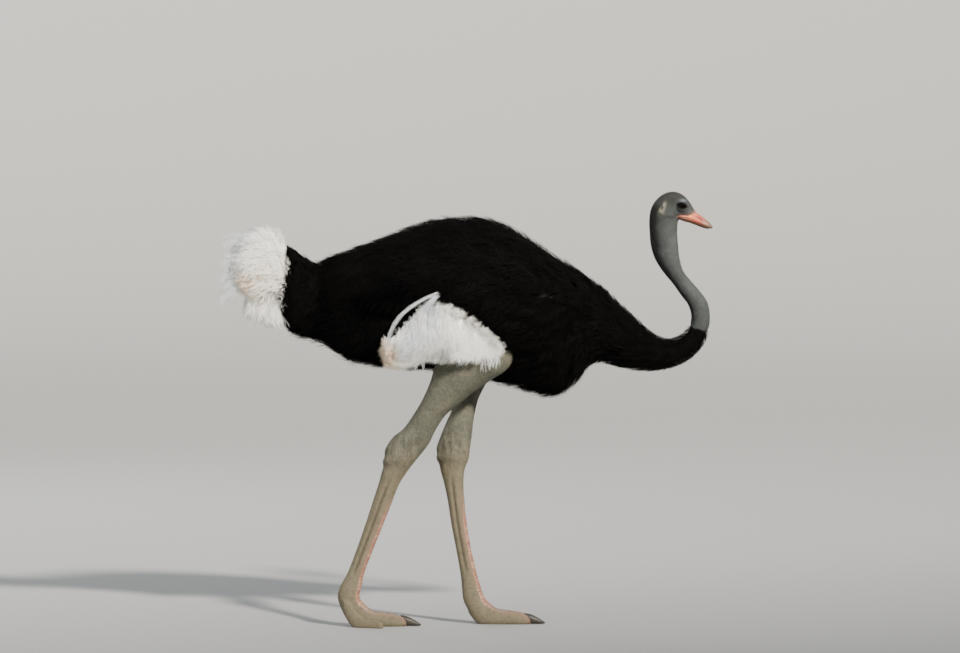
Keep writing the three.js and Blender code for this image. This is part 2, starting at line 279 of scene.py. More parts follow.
# a closed sphere drawn out along a form: ringT gives t for each ring, and sink the depth at t
def drawnOut(form, rings, around, ringT=None, sink=None, ordered=False):
    bm = bmesh.new()
    bmesh.ops.create_uvsphere(bm, u_segments=around, v_segments=rings + 1, radius=1)
    if ordered:
        inOrder(bm)
    ball = np.array([v.co for v in bm.verts])
    ring = np.rint(np.arccos(np.clip(ball[:, 2], -1, 1)) / math.pi * (rings + 1))
    share = np.clip((ring - 1) / (rings - 1), 0, 1)
    t = ringT(share) if ringT else share * (len(form) - 1)
    angle = np.arctan2(ball[:, 1], ball[:, 0])
    depth = sink(t) if sink else np.zeros_like(t)
    place = surfacePoint(form, t, angle, depth)
    pole = (ring < 0.5) | (ring > rings + 0.5)
    ends = [surfacePoint(form, t, np.full_like(t, turn), depth) for turn in (0, math.pi)]
    place[pole] = ((ends[0] + ends[1]) / 2)[pole]
    placeVerts(bm, place)
    if bm.calc_volume(signed=True) < 0:
        bmesh.ops.reverse_faces(bm, faces=bm.faces)
    return bm


spine = sections(
    (-500, 1150, -492, 990, 90, 0, 2.1), (-478, 1196, -466, 946, 200, 0, 2.1),
    (-414, 1231, -398, 888, 300, 0, 2.1), (-315, 1266, -315, 866, 372, 0, 2.15),
    (-216, 1304, -216, 856, 424, 0, 2.15, 0.04), (-114, 1337, -112, 845, 456, 0, 2.2, 0.06),
    (-14, 1350, -4, 832, 470, 0, 2.2, 0.08), (86, 1342, 102, 810, 470, 0, 2.15, 0.08),
    (170, 1308, 204, 780, 452, 0, 2.1, 0.08), (250, 1256, 296, 760, 410, 0, 2.05, 0.06),
    (330, 1202, 362, 800, 340, 0, 2.0, 0.04), (402, 1156, 408, 858, 262), (462, 1112, 448, 872, 204),
    (512, 1064, 492, 858, 166), (556, 1024, 548, 845, 138), (603, 980, 597, 841, 116),
    (642, 955, 638, 843, 104), (673, 949, 684, 852, 96), (697, 955, 742, 880, 90), (722, 971, 786, 926, 82),
    (738, 995, 807, 980, 70),  # the dark feathers end here
    (742, 1028, 810, 1030, 64), (732, 1060, 801, 1070, 61), (711, 1089, 776, 1106, 60),
    (682, 1130, 744, 1142, 60), (648, 1172, 721, 1172, 63), (623, 1213, 709, 1213, 69),
    (610, 1256, 704, 1256, 74), (606, 1300, 701, 1296, 76), (605, 1342, 701, 1316, 76),  # nape
    (612, 1380, 702, 1330, 78, 0, 2.0, 0.1), (632, 1410, 704, 1338, 80, 0, 2.1, 0.2),
    (662, 1430, 709, 1342, 82, 0, 2.15, 0.24), (693, 1433, 716, 1343, 84, 0, 2.2, 0.3),
    (720, 1421, 724, 1343, 80, 0, 2.2, 0.26), (740, 1400, 732, 1341, 62, 0, 2.1, 0.1),
    (751, 1382, 740, 1342, 42), (760, 1368, 750, 1350, 18),
)
collarAt = 20  # sections where the dark feathers stop, and where the head begins
napeAt = 29

wingForm = sections(
    (412, 1108, 404, 1016, 90, 90), (352, 1148, 338, 944, 160, 126), (262, 1188, 250, 904, 202, 151),
    (164, 1218, 148, 918, 216, 168), (64, 1238, 54, 974, 222, 176), (-44, 1238, -50, 1050, 220, 178),
    (-150, 1214, -156, 1056, 210, 172), (-242, 1182, -248, 1036, 190, 158), (-322, 1136, -325, 1036, 150, 138),
    (-364, 1102, -364, 1062, 80, 125),
)
tailForm = sections(
    (-440, 1160, -440, 990, 170), (-490, 1150, -488, 1000, 126), (-536, 1176, -532, 1020, 128),
    (-570, 1194, -567, 1046, 134), (-588, 1170, -586, 1080, 84), (-594, 1150, -593, 1110, 30),
)


def mirrored(form):
    return [((a[0], -a[1], a[2]), (b[0], -b[1], b[2]), sizes) for a, b, sizes in form]


def onSide(form, side):
    return form if side > 0 else mirrored(form)


# The big toe goes on from the shank: offsets from its joint for the underside and the top, and the width.
toeRun = [
    (58, -6, 84, 51, 58),
    (103, -6, 118, 46, 57),
    (148, -6, 155, 40, 54),
    (174, -5, 178, 32, 48),
    (187, -1, 190, 23, 35),
    (194, 3, 195, 16, 20),
    (197, 7, 197, 11, 6),
]


def toeSections(jointX, y, turn):
    run = []
    for ax, az, bx, bz, width in toeRun:
        run.append(section(jointX + ax, az, jointX + bx, bz, width, y + turn * ax, 2.3))
    return run


rightLeg = sections(
    (20, 1060, 190, 980, 90, -140), (-48, 980, 166, 896, 136, -146), (-90, 900, 134, 850, 150, -140),
    (-106, 846, 92, 822, 148, -130), (-116, 812, 40, 786, 136, -122), (-142, 752, -20, 738, 118, -108),
    (-178, 692, -66, 698, 100, -98), (-206, 654, -100, 646, 88, -90), (-240, 626, -118, 608, 84, -84),
    (-262, 590, -138, 580, 86, -80), (-270, 556, -160, 552, 86, -78),  # hock
    (-274, 520, -190, 514, 76, -76), (-286, 476, -214, 478, 60, -73), (-302, 426, -238, 422, 50, -70),
    (-330, 340, -272, 336, 44, -67), (-362, 248, -308, 246, 42, -63), (-392, 172, -336, 170, 46, -61),
    (-414, 132, -344, 126, 58, -60), (-422, 98, -350, 106, 63, -59), (-410, 56, -348, 92, 62, -57),
    (-390, 20, -338, 79, 60, -55), (-364, -3, -322, 64, 60, -54, 2.2),
) + toeSections(-388, -52, 0.03)
leftLeg = sections(
    (0, 1140, 186, 1060, 90, 140), (-40, 1000, 150, 968, 136, 146), (-58, 904, 112, 894, 146, 134),
    (-56, 820, 78, 812, 136, 120), (-52, 752, 44, 744, 116, 106), (-48, 708, 32, 698, 100, 96),
    (-64, 668, 26, 664, 90, 86), (-82, 626, 22, 624, 86, 78), (-94, 590, 16, 584, 86, 72),
    (-97, 558, 12, 548, 86, 68),  # hock
    (-86, 516, -2, 510, 74, 64), (-74, 474, -6, 472, 58, 60), (-61, 415, -4, 414, 50, 56),
    (-48, 332, 4, 331, 44, 50), (-30, 238, 20, 238, 42, 46), (-16, 156, 40, 156, 46, 43),
    (-12, 112, 54, 110, 58, 41), (-8, 80, 62, 90, 63, 39), (8, 44, 70, 77, 62, 38), (26, 14, 80, 68, 60, 37),
    (48, -4, 93, 58, 60, 36, 2.2),
) + toeSections(22, 34, -0.03)
legs = {
    "right": {
        "form": rightLeg, "side": -1, "hock": 10, "joint": (-388, -60, 106), "firstToe": 22, "toeY": -52,
        "middleY": (-60, -60, -72, -78, -98, -140),
    },
    "left": {
        "form": leftLeg, "side": 1, "hock": 9, "joint": (22, 42, 84), "firstToe": 21, "toeY": 34,
        "middleY": (42, 42, 60, 68, 95, 134),
    },
}
middleHeights = (0, 150, 470, 560, 700, 900)  # heights that middleY goes with, from the sole up
shankHeights = (150, 250, 340, 420, 480)


def smallToeForm(leg):
    x, y, rise = leg["joint"]
    turn = leg["side"] * 0.42
    run = [
        (-16, rise - 10, -18, rise - 40, 22),
        (10, rise * 0.78, -8, rise * 0.28, 31),
        (34, rise * 0.42 + 10, 26, -5, 34),
        (60, 35, 58, -6, 33),
        (86, 31, 86, -6, 32),
        (108, 27, 108, -6, 30),
        (119, 22, 119, -5, 26),
        (125, 18, 125, -2, 19),
        (128.5, 12, 128.5, 2, 10),
        (129.5, 8, 129.5, 5, 3),
    ]
    form = [section(*row, square=2.3) for row in run]
    cos, sin = math.cos(turn), math.sin(turn)
    startY = y + leg["side"] * 24

    def place(p):
        return (x + p[0] * cos, startY + p[0] * sin, p[2])

    return [(place(a), place(b), sizes) for a, b, sizes in form]


skin = {
    "around": 112,
    "bodyRings": 60,
    "neckRings": 110,
    "headRings": 120,
    "legRings": 230,
    "legAround": 64,
}


# more rings on the neck and the head than on the trunk, which feathers hide
def bodyRingT(share):
    total = skin["bodyRings"] + skin["neckRings"] + skin["headRings"]
    marks = np.array([0, skin["bodyRings"], skin["bodyRings"] + skin["neckRings"], total]) / total
    return np.interp(share, marks, [0, 17, napeAt, len(spine) - 1])


def evenly(depth):
    return lambda t: np.full_like(t, depth)


def coatDepth(t):
    return np.interp(
        t,
        [0, 1, 3, 9, 11, 13, 16, 19.4, 20.2, 24, 29, 31, 37],
        [16, 34, 40, 40, 36, 28, 18, 10, 3.5, 2.2, 1.8, 1.0, 0.6],
    )


def union(piece, others):
    for other in others:
        cut = piece.modifiers.new("join", "BOOLEAN")
        cut.operation = "UNION"
        cut.solver = "MANIFOLD"
        cut.object = other
        applyModifiers(piece)
        bpy.data.objects.remove(other)
    bm = workMesh(piece)
    inOrder(bm)
    bm.to_mesh(piece.data)
    bm.free()
    piece.data.shade_smooth()


head = {
    "eye": np.array([713.0, 24.0, 1388.0]),
    "eyeRadius": 22.0,
    "lidRadius": 23.6,
    "lidReach": 42.0,  # how far over the surface the lids' skin runs before it sinks into the cheek
    "eyeWide": 16.0,  # half the opening's length, and its heights above and below the middle
    "upperLid": 7.6,
    "lowerLid": 9.0,
    "ear": np.array([651.0, 38.0, 1382.0]),
    "earLean": math.radians(-26),
    "lidTilt": math.radians(-10),
}


# moves the drawn-out body's points, in millimetres, to sculpt throat, nape, cheeks and ears
def shapeNeckAndHead(place):
    x, y, z = place[:, 0], place[:, 1], place[:, 2]
    side = np.sign(y)
    onHead = smoothstep(1330, 1350, z) * smoothstep(590, 610, x)
    # cheek below and behind the eye, and a hollow between the eye and the bill
    cheek = bump(672, 20, x) * bump(1360, 15, z) * onHead
    lore = bump(744, 11, x) * bump(1376, 9, z) * onHead
    temple = bump(672, 16, x) * bump(1400, 12, z) * onHead
    flank = np.clip(np.abs(y) / 30, 0, 1)
    place[:, 1] += side * flank * (3.4 * cheek - 3.0 * lore - 1.6 * temple)
    # ear: an oval hole with a raised rim
    ex, ez = head["ear"][0], head["ear"][2]
    lean = head["earLean"]
    u = ((x - ex) * math.cos(lean) + (z - ez) * math.sin(lean) + 2.5) / 3.8
    v = (-(x - ex) * math.sin(lean) + (z - ez) * math.cos(lean) + 5.0) / 9.0
    r = np.hypot(u, v)
    hole = (1 - smoothstep(0.35, 1.15, r)) * flank * onHead
    rim = bump(1.45, 0.38, r) * flank * onHead
    place[:, 1] += side * (1.4 * rim - 6.5 * hole)
    # low rings of skin round the throat and long folds down the sides of the neck
    onNeck = smoothstep(1000, 1030, z) * (1 - smoothstep(1345, 1365, z))
    ridge = np.sin(z / 5.2 + 0.6 * np.sin(z / 17) + 0.3 * y / 10)
    place[:, 0] += 0.35 * ridge * onNeck * smoothstep(650, 720, x) * smoothstep(1180, 1260, z)
    fold = np.sin(6.0 * np.arctan2(y, 40) + z / 60)
    place[:, 1] += side * 0.5 * fold * onNeck * flank
    # jaw line from the gape back under the ear
    line = 1352 + (690 - x) * 0.12
    jaw = bump(0, 4.5, z - line) * smoothstep(640, 655, x) * (1 - smoothstep(690, 700, x)) * onHead
    place[:, 1] += side * flank * 1.3 * jaw
    return place


# muscle, hock folds and tendon grooves, in millimetres; the sole is pressed flat on the floor
def shapeLeg(place, leg):
    x, y, z = place[:, 0], place[:, 1], place[:, 2]
    form = leg["form"]
    hockA, hockB, _ = form[leg["hock"]]
    hockX = (hockA[0] + hockB[0]) / 2
    hockZ = (hockA[2] + hockB[2]) / 2
    out = np.sign(y - np.interp(z, middleHeights, leg["middleY"]))
    # folds that fan round the back of the hock
    dx, dz = x - (hockX - 34), z - hockZ
    fan = np.sin(9 * np.arctan2(dz, dx + 70) + 0.04 * y)
    near = bump(0, 52, np.hypot(dx, dz))
    place[:, 1] += out * 2.6 * fan * near
    place[:, 0] += -2.0 * fan * near * (dx < 0)
    # loose skin in long creases above the hock and short ones across its front
    across = dx - 0.35 * dz * (leg["side"] < 0)
    creases = np.sin(across / 4.0 + 0.9 * np.sin(z / 19)) * bump(hockZ + 46, 44, z)
    place[:, 1] += out * 1.7 * creases
    bars = np.abs(np.sin(z / 5.2 + 0.5 * np.sin(x / 11))) * bump(hockZ - 10, 34, z) * smoothstep(8, 34, x - hockX)
    place[:, 0] -= 1.5 * bars
    # knobs each side of the hock
    knob = bump(hockX + 2, 20, x) * bump(hockZ + 4, 24, z)
    place[:, 1] += out * 4.0 * knob
    # groove between the bone and the tendon behind it, down the shank
    t = smoothstep(0, 1, (hockZ - 40 - z) / 60) * smoothstep(0, 1, (z - 150) / 60)
    shankX = shankMiddle(form, z)
    groove = bump(-4, 6, x - shankX) * t
    tendon = bump(-14, 6, x - shankX) * t
    place[:, 1] += out * (1.4 * tendon - 4.6 * groove)
    # the toe's joints swell a little, and its pads spread under them
    low = 1 - smoothstep(18, 46, z)
    along = x - leg["joint"][0]
    swell = sum(bump(c, 11, along) for c in (72, 112, 150))
    place[:, 1] += out * 1.8 * swell * low
    place[:, 2] = np.maximum(place[:, 2], 0)
    return place


# where the middle of the shank is, along x, at the heights z
def shankMiddle(form, z):
    heights = np.array([(a[2] + b[2]) / 2 for a, b, _ in form])
    middles = np.array([(a[0] + b[0]) / 2 for a, b, _ in form])
    order = np.argsort(heights)
    return np.interp(z, shankHeights, np.interp(shankHeights, heights[order], middles[order]))


# hollows the skull behind each eye, so that the eyeball and its lids fill the place
def sinkSockets(place):
    x, y, z = place[:, 0], place[:, 1], place[:, 2]
    r = np.hypot(x - head["eye"][0], z - head["eye"][2])
    inside = (1 - smoothstep(13, 26, r)) * np.clip(np.abs(y) / 14, 0, 1)
    place[:, 1] -= np.sign(y) * 13 * inside
    return place


# how far the eye's opening reaches from its middle in any direction
def lidEdge(cos, sin):
    tall = np.where(sin > 0, head["upperLid"], head["lowerLid"])
    return (np.abs(cos / head["eyeWide"]) ** 1.7 + np.abs(sin / tall) ** 1.7) ** (-1 / 1.7)


# the head with both covered eyeballs standing out of it, as a smooth form for the lids to follow
def headOverEyes():
    top = len(spine) - 1
    bm = drawnOut(spine, 90, 96, lambda share: napeAt + 0.5 + (top - napeAt - 0.5) * share, coatDepth)
    movePoints(bm, shapeNeckAndHead)
    form = meshPiece(bm, "headOverEyes")
    for side in (-1, 1):
        bm = bmesh.new()
        bmesh.ops.create_uvsphere(bm, u_segments=48, v_segments=32, radius=head["lidRadius"] * mm)
        middle = Vector((head["eye"][0], side * head["eye"][1], head["eye"][2])) * mm
        bmesh.ops.translate(bm, verts=bm.verts, vec=middle)
        union(form, [meshPiece(bm, "coveredEye")])
    even = form.modifiers.new("even", "REMESH")
    even.mode = "VOXEL"
    even.voxel_size = 1.4 * mm
    applyModifiers(form)
    bm = workMesh(form)
    bpy.data.objects.remove(form)
    soften(bm, bm.verts, 0.5, 7)
    bm.normal_update()
    return treeOf(bm)


# a ring of skin from the eye's opening out over the eyeball, cheek and brow, with its rims and folds
def makeLids(side, cover):
    rows, around = 40, 96
    eye = head["eye"]
    tilt = head["lidTilt"]
    step = 0.5
    count = int(head["lidReach"] / step) + 2
    walks = []
    for i in range(around):
        turn = math.tau * i / around
        spot, facing, _, _ = cover.find_nearest(Vector((eye[0], side * (eye[1] + 24), eye[2])) * mm)
        heading = Vector((math.cos(turn + tilt), 0, math.sin(turn + tilt)))
        walk = []
        for _ in range(count):
            walk.append((*(spot / mm), *facing))
            heading = (heading - facing * heading.dot(facing)).normalized()
            spot, facing, _, _ = cover.find_nearest(spot + heading * step * mm)
        walks.append(walk)
    walks = np.array(walks)
    walks[:, :, 3:] = unit(walks[:, :, 3:] + np.roll(walks[:, :, 3:], 1, 1) + np.roll(walks[:, :, 3:], -1, 1))
    bm = bmesh.new()
    bmesh.ops.create_grid(bm, x_segments=rows, y_segments=around, size=1)
    radius = head["lidRadius"]
    for vert in bm.verts:
        s = (vert.co.x + 1) / 2
        number = round((vert.co.y + 1) / 2 * around) % around
        turn = math.tau * number / around
        cos, sin = math.cos(turn), math.sin(turn)
        edge = float(lidEdge(cos, sin))
        start = radius * math.asin(edge / radius)
        rim = min(s / 0.10, 1)
        out = max(s - 0.10, 0) / 0.90
        reach = start + (head["lidReach"] - start) * out ** 1.2
        gone = reach - start
        base = np.array([np.interp(reach / step, np.arange(count), walks[number, :, k]) for k in range(6)])
        place, normal = base[:3], unit(base[3:])
        if out == 0:
            place = place - normal * (radius - head["eyeRadius"] + 0.4) * (1 - math.sin(rim * math.pi / 2))
        else:
            u, v = reach * cos, reach * sin
            fade = 1 - smoothstep(head["lidReach"] - 9, head["lidReach"] - 3, reach)
            upper = smoothstep(0.1, 0.5, sin)
            lower = smoothstep(0.1, 0.5, -sin)
            crease = bump(4.8, 1.0, gone) * upper * 1.3 + bump(8.6, 1.1, gone) * upper * 0.8
            pouch = sum(bump(g, 0.8, gone) for g in (3.2, 6.0, 9.4, 13.5)) * lower * 0.6
            brow = bump(16.5, 4.5, v) * bump(1, 17, u) * 2.6
            tear = bump(-1, 3, v) * bump(18.5, 3.5, u) * 1.2
            rise = (brow - crease - pouch - tear) * fade + 0.5 * math.exp(-gone / 1.2) + 0.3
            rise -= 2.2 * smoothstep(head["lidReach"] - 5, head["lidReach"], reach)
            place = place + normal * rise
        vert.co = Vector(place) * mm
    bmesh.ops.remove_doubles(bm, verts=bm.verts, dist=1e-6)
    bmesh.ops.recalc_face_normals(bm, faces=bm.faces)
    if sum(face.normal.y for face in bm.faces) * side < 0:
        bmesh.ops.reverse_faces(bm, faces=bm.faces)
    return meshPiece(bm, f"lids_{side}")


def movePoints(bm, shaper, *more):
    placeVerts(bm, shaper(np.array([v.co for v in bm.verts]) / mm, *more))


def makeSkin():
    total = skin["bodyRings"] + skin["neckRings"] + skin["headRings"]
    bm = drawnOut(spine, total, skin["around"], bodyRingT, coatDepth)
    movePoints(bm, shapeNeckAndHead)
    movePoints(bm, sinkSockets)
    body = meshPiece(bm, "skin")
    parts = []
    for name, leg in legs.items():
        bm = drawnOut(leg["form"], skin["legRings"], skin["legAround"], None, evenly(0.6))
        movePoints(bm, shapeLeg, leg)
        parts.append(meshPiece(bm, f"legShape_{name}"))
        toe = smallToeForm(leg)
        bm = drawnOut(toe, 84, 32, None, evenly(0.6))
        movePoints(bm, shapeSmallToe, leg["joint"])
        parts.append(meshPiece(bm, f"toeShape_{name}"))
        bm = drawnOut(onSide(wingForm, leg["side"]), 30, 32, None, evenly(36.0))
        parts.append(meshPiece(bm, f"wingShape_{name}"))
    parts.append(meshPiece(drawnOut(tailForm, 20, 28), "tailShape"))
    union(body, parts)
    smoothJoins(body)
    cover = headOverEyes()
    joinAll(body, [makeLids(side, cover) for side in (-1, 1)])
    return body


def joinAll(piece, others):
    with bpy.context.temp_override(active_object=piece, selected_editable_objects=[piece, *others]):
        bpy.ops.object.join()


# knuckles and the creases between them on a small toe, which is pressed flat underneath
def shapeSmallToe(place, joint):
    along = np.hypot(place[:, 0] - joint[0], place[:, 1] - joint[1] - math.copysign(24, joint[1]))
    top = smoothstep(10, 22, place[:, 2])
    creases = sum(bump(c, 2.6, along) for c in (30, 42, 58, 69, 86, 97, 112))
    place[:, 2] -= 1.5 * creases * top
    place[:, 2] = np.maximum(place[:, 2], 0)
    return place


# softens the crease where each small toe grows from the foot
def smoothJoins(piece):
    bm = workMesh(piece)
    bmesh.ops.remove_doubles(bm, verts=bm.verts, dist=0.02 * mm)
    for leg in legs.values():
        a, b, _ = smallToeForm(leg)[1]
        root = (Vector(a) + Vector(b)) / 2 * mm
        for reach, times in ((0.040, 5), (0.033, 7), (0.026, 8)):
            near = [v for v in bm.verts if v.co.z > 0.001 and (v.co - root).length < reach]
            soften(bm, near, 0.5, times)
    bmesh.ops.triangulate(bm, faces=[f for f in bm.faces if len(f.verts) > 4])
    bm.to_mesh(piece.data)
    bm.free()
    piece.data.shade_smooth()


billUpperForm = sections(
    (702, 1358, 700, 1350, 48), (716, 1361, 712, 1348, 54, 0, 2.0, -0.3),
    (738, 1372, 734, 1341.5, 48, 0, 2.0, -0.4), (764, 1362, 758, 1332, 41, 0, 2.0, -0.5),
    (783, 1350, 778, 1324.5, 35, 0, 2.0, -0.5), (797, 1338, 792, 1318, 29, 0, 2.0, -0.4),
    (806, 1329.5, 801.5, 1314, 23, 0, 2.0, -0.2), (812.5, 1322.5, 809, 1311.5, 15.5),
    (815.5, 1317.5, 813.5, 1311.5, 8), (816, 1315, 815.6, 1313, 2.5),
)
billLowerForm = sections(
    (699, 1356, 700, 1344, 42), (712, 1354, 716, 1336.5, 48, 0, 2.0, 0.3),
    (734, 1348, 738, 1330, 43, 0, 2.0, 0.4), (758, 1340, 759, 1322.5, 36, 0, 2.0, 0.4),
    (778, 1331, 778, 1315.5, 29, 0, 2.0, 0.4), (792, 1323.5, 792, 1311.5, 22, 0, 2.0, 0.3),
    (801, 1317.5, 801, 1310.5, 14, 0, 2.0, 0.2), (806, 1314.5, 806, 1311.5, 5),
)
bill = {
    "root": (720.0, 1356.0),
    "droop": math.radians(-21),
    "ridgeAlong": [11, 39, 61, 78, 90],
    "ridgeHigh": [21.4, 21.4, 17.0, 10.8, 6.0],
    "nostril": (54.0, 9.6),  # along the bill from its root, and down from the ridge
    "nostrilLong": 9.5,
    "nail": 76.0,
}


def alongBill(place):
    cos, sin = math.cos(bill["droop"]), math.sin(bill["droop"])
    dx, dz = place[:, 0] - bill["root"][0], place[:, 2] - bill["root"][1]
    return dx * cos + dz * sin, -dx * sin + dz * cos


# a groove down each side from the forehead to the nail, and the nostril in it
def billGroove(place):
    along, high = alongBill(place)
    drop = np.interp(along, bill["ridgeAlong"], bill["ridgeHigh"]) - high
    groove = bump(bill["nostril"][1], 2.6, drop) * smoothstep(14, 30, along)
    groove = groove * (1 - smoothstep(bill["nail"] - 12, bill["nail"], along)) * (np.abs(place[:, 1]) > 4)
    slit = bump(bill["nostril"][0], bill["nostrilLong"], along) * bump(bill["nostril"][1], 2.1, drop)
    return along, drop, groove, slit * (np.abs(place[:, 1]) > 4)


def shapeUpperBill(place):
    along, drop, groove, slit = billGroove(place)
    side = np.sign(place[:, 1])
    up = (-math.sin(bill["droop"]), math.cos(bill["droop"]))
    nail = smoothstep(bill["nail"], bill["nail"] + 3, along) * smoothstep(14, 6, drop)
    seam = bump(bill["nail"] - 1, 1.6, along) * smoothstep(14, 6, drop)
    lift = nail * 0.8 - seam * 0.5
    place[:, 0] += lift * up[0]
    place[:, 2] += lift * up[1]
    rim = bump(17.5, 2.6, drop) * smoothstep(16, 34, along) * (1 - smoothstep(66, 80, along))
    place[:, 1] += side * (0.6 * rim - 1.5 * groove - 3.0 * slit)
    return place


def shapeLowerBill(place):
    along, high = alongBill(place)
    y = place[:, 1]
    under = smoothstep(0.2, 0.8, 1 - np.abs(y) / 17) * smoothstep(14, 30, along) * (1 - smoothstep(66, 80, along))
    hollow = under * smoothstep(14, 24, -high)
    place[:, 2] += 2.4 * hollow
    return place


def makeBill(name, form, shaper, lower):
    bm = drawnOut(form, 120, 84)
    movePoints(bm, shaper)
    piece = meshPiece(bm, name)
    place = positionsOf(piece.data) / mm
    along, _, groove, slit = billGroove(place)
    paint(piece, "along", np.clip(along / 98, 0, 1))
    x, z = place[:, 0], place[:, 2]
    # groove carries painted shade in the side groove and the nostril slit, and a dark red streak near the root
    streak = 0.8 * bump(717, 10, x) * bump(1357, 1.8, z + (x - 705) * 0.15)
    paint(piece, "groove", np.clip((0.5 * groove + slit + streak) * (1 - lower), 0, 1))
    orange = bump(742, 11, x) * bump(1354, 6, z) * smoothstep(9, 14, np.abs(place[:, 1]))
    paint(piece, "orange", orange * (1 - lower))
    # lower marks the lower bill, which the horn material paints dark brown as painted shade under the upper bill
    paint(piece, "lower", np.full(len(place), float(lower)))
    return piece


# an eyeball with a bulged cornea; fromPupil runs from 0 at the pupil's middle to 1 at the rim of the iris
def makeEye(name, side):
    bm = bmesh.new()
    bmesh.ops.create_uvsphere(bm, u_segments=64, v_segments=48, radius=head["eyeRadius"] * mm)
    looks = Vector((0.16, side, -0.03)).normalized()
    turn = Vector((0, 0, 1)).rotation_difference(looks)
    away = bm.verts.layers.float.new("fromPupil")
    for vert in bm.verts:
        angle = math.acos(max(-1, min(1, vert.co.normalized().z)))
        vert[away] = angle / math.radians(50)
        vert.co *= 1 + 0.045 * float(bump(0, 0.5, angle))
        vert.co = turn @ vert.co + Vector((head["eye"][0], side * (head["eye"][1]), head["eye"][2])) * mm
    return meshPiece(bm, name)


def makeClaw(name, leg):
    x, _, _ = leg["joint"]
    y = toeSections(x, leg["toeY"], -0.03 * leg["side"])[-1][0][1]
    root = x + 157
    form = sections(
        (root, 31, root, 13, 14, y), (root + 14, 36, root + 14, 6, 25, y),
        (root + 34, 33.5, root + 34, 2, 27, y, 2.3), (root + 58, 23, root + 58, 0.8, 22.5, y, 2.3),
        (root + 76, 12, root + 75, 0.8, 13.5, y), (root + 85, 6, root + 84, 2, 4, y),
    )
    return meshPiece(drawnOut(form, 44, 28), name)


scute = {
    "from": 424.0,  # height where they begin
    "pitch": 11.5,
    "wrap": 0.98,  # how far round the shank each side of the front
    "rise": 1.5,
    "toeWrap": 0.75,
}


# overlapping plates, evenly spaced along the front outline of one leg and over its big toe
def scuteRow(leg):
    form = leg["form"]
    t = np.linspace(leg["hock"], len(form) - 1.6, 900)
    front = surfacePoint(form, t, np.full_like(t, math.pi))
    start = int(np.argmax(front[:, 2] < scute["from"]))
    gone = np.concatenate([[0], np.cumsum(np.linalg.norm(np.diff(front[start:], axis=0), axis=1))])
    count = int(gone[-1] / scute["pitch"])
    edges = np.interp(np.arange(count + 1) * scute["pitch"], gone, t[start:])
    plates = []
    for i in range(count):
        bm = bmesh.new()
        bmesh.ops.create_grid(bm, x_segments=14, y_segments=8, size=1)
        grid = np.array([v.co for v in bm.verts])
        u, v = grid[:, 0], grid[:, 1]
        onToe = smoothstep(leg["firstToe"] - 4, leg["firstToe"], edges[i])
        begun = smoothstep(-1, 9, i)
        wrap = (scute["wrap"] + (scute["toeWrap"] - scute["wrap"]) * onToe) * (1 + 0.05 * chance.normal())
        wrap *= 0.62 + 0.38 * begun
        sag = 0.16 * (1 - u * u) + 0.05 * chance.normal() * u
        tt = edges[i] + (edges[i + 1] - edges[i]) * np.clip((v * 1.06 + 1) / 2 + sag, -0.1, 1.3)
        angle = math.pi + wrap * u
        step = 1e-3
        here = surfacePoint(form, tt, angle)
        down = surfacePoint(form, tt + step, angle) - here
        sideways = surfacePoint(form, tt, angle + step) - here
        out = unit(np.cross(down, sideways))
        outward = here - surfacePoint(form, tt, angle, 5.0)
        out *= np.sign((out * outward).sum(1, keepdims=True))
        crown = (1 - np.abs(u) ** 5) * (1 - np.abs(v) ** 6)
        rise = scute["rise"] * (crown * (0.75 + 0.45 * v) - 0.9 * (1 - crown) ** 3)
        place = here + out * (rise - 0.55)[:, None]
        place[:, 2] = np.maximum(place[:, 2], 0.4)
        placeVerts(bm, place)
        shade = chance.random()
        layers = [bm.verts.layers.float.new(label) for label in ("shade", "onToe", "rim", "begun")]
        for vert, edgeShare in zip(bm.verts, 1 - crown):
            for layer, value in zip(layers, (shade, float(onToe), edgeShare, float(begun))):
                vert[layer] = value
        bm.normal_update()
        facing = sum((face.normal for face in bm.faces), Vector())
        if facing.dot(Vector(out.sum(0))) < 0:
            bmesh.ops.reverse_faces(bm, faces=bm.faces)
        plates.append(meshPiece(bm, "plate"))
    return plates


def makeScutes(name, leg):
    plates = scuteRow(leg)
    joinAll(plates[0], plates[1:])
    plates[0].name = name
    return plates[0]


tailCoverts = sections(
    (-440, 1215, -432, 925, 240), (-466, 1192, -462, 946, 200), (-486, 1186, -484, 950, 178),
    (-514, 1200, -510, 956, 176), (-546, 1240, -540, 968, 196), (-576, 1268, -572, 982, 222),
    (-598, 1270, -596, 994, 230),
)
tailBall = sections(
    (-572, 1238, -568, 1024, 170), (-590, 1268, -588, 1022, 224), (-622, 1306, -614, 1018, 258),
    (-664, 1317, -652, 1022, 268, 0, 2.1), (-708, 1304, -696, 1046, 258, 0, 2.1), (-746, 1272, -734, 1086, 214),
    (-767, 1234, -760, 1124, 134), (-775, 1194, -772, 1154, 52),
)
plumeY = 212
plumeGrid = (44, 40)  # rings and points round each
plumeForm = sections(
    (-264, 928, -264, 890, 50, plumeY - 44), (-247, 988, -247, 862, 96, plumeY - 26),
    (-210, 1040, -210, 858, 116, plumeY - 12), (-157, 1076, -157, 878, 126, plumeY - 4),
    (-100, 1098, -98, 882, 134, plumeY), (-44, 1072, -42, 876, 134, plumeY),
    (15, 1032, 15, 870, 130, plumeY - 2), (71, 992, 71, 874, 116, plumeY - 6),
    (110, 966, 110, 902, 82, plumeY - 14), (131, 946, 131, 928, 40, plumeY - 22),
)


def treeOf(bm):
    tree = BVHTree.FromBMesh(bm)
    bm.free()
    return tree


def nearTree(spots):
    tree = KDTree(len(spots))
    for i, spot in enumerate(spots):
        tree.insert(spot, i)
    tree.balance()
    return tree


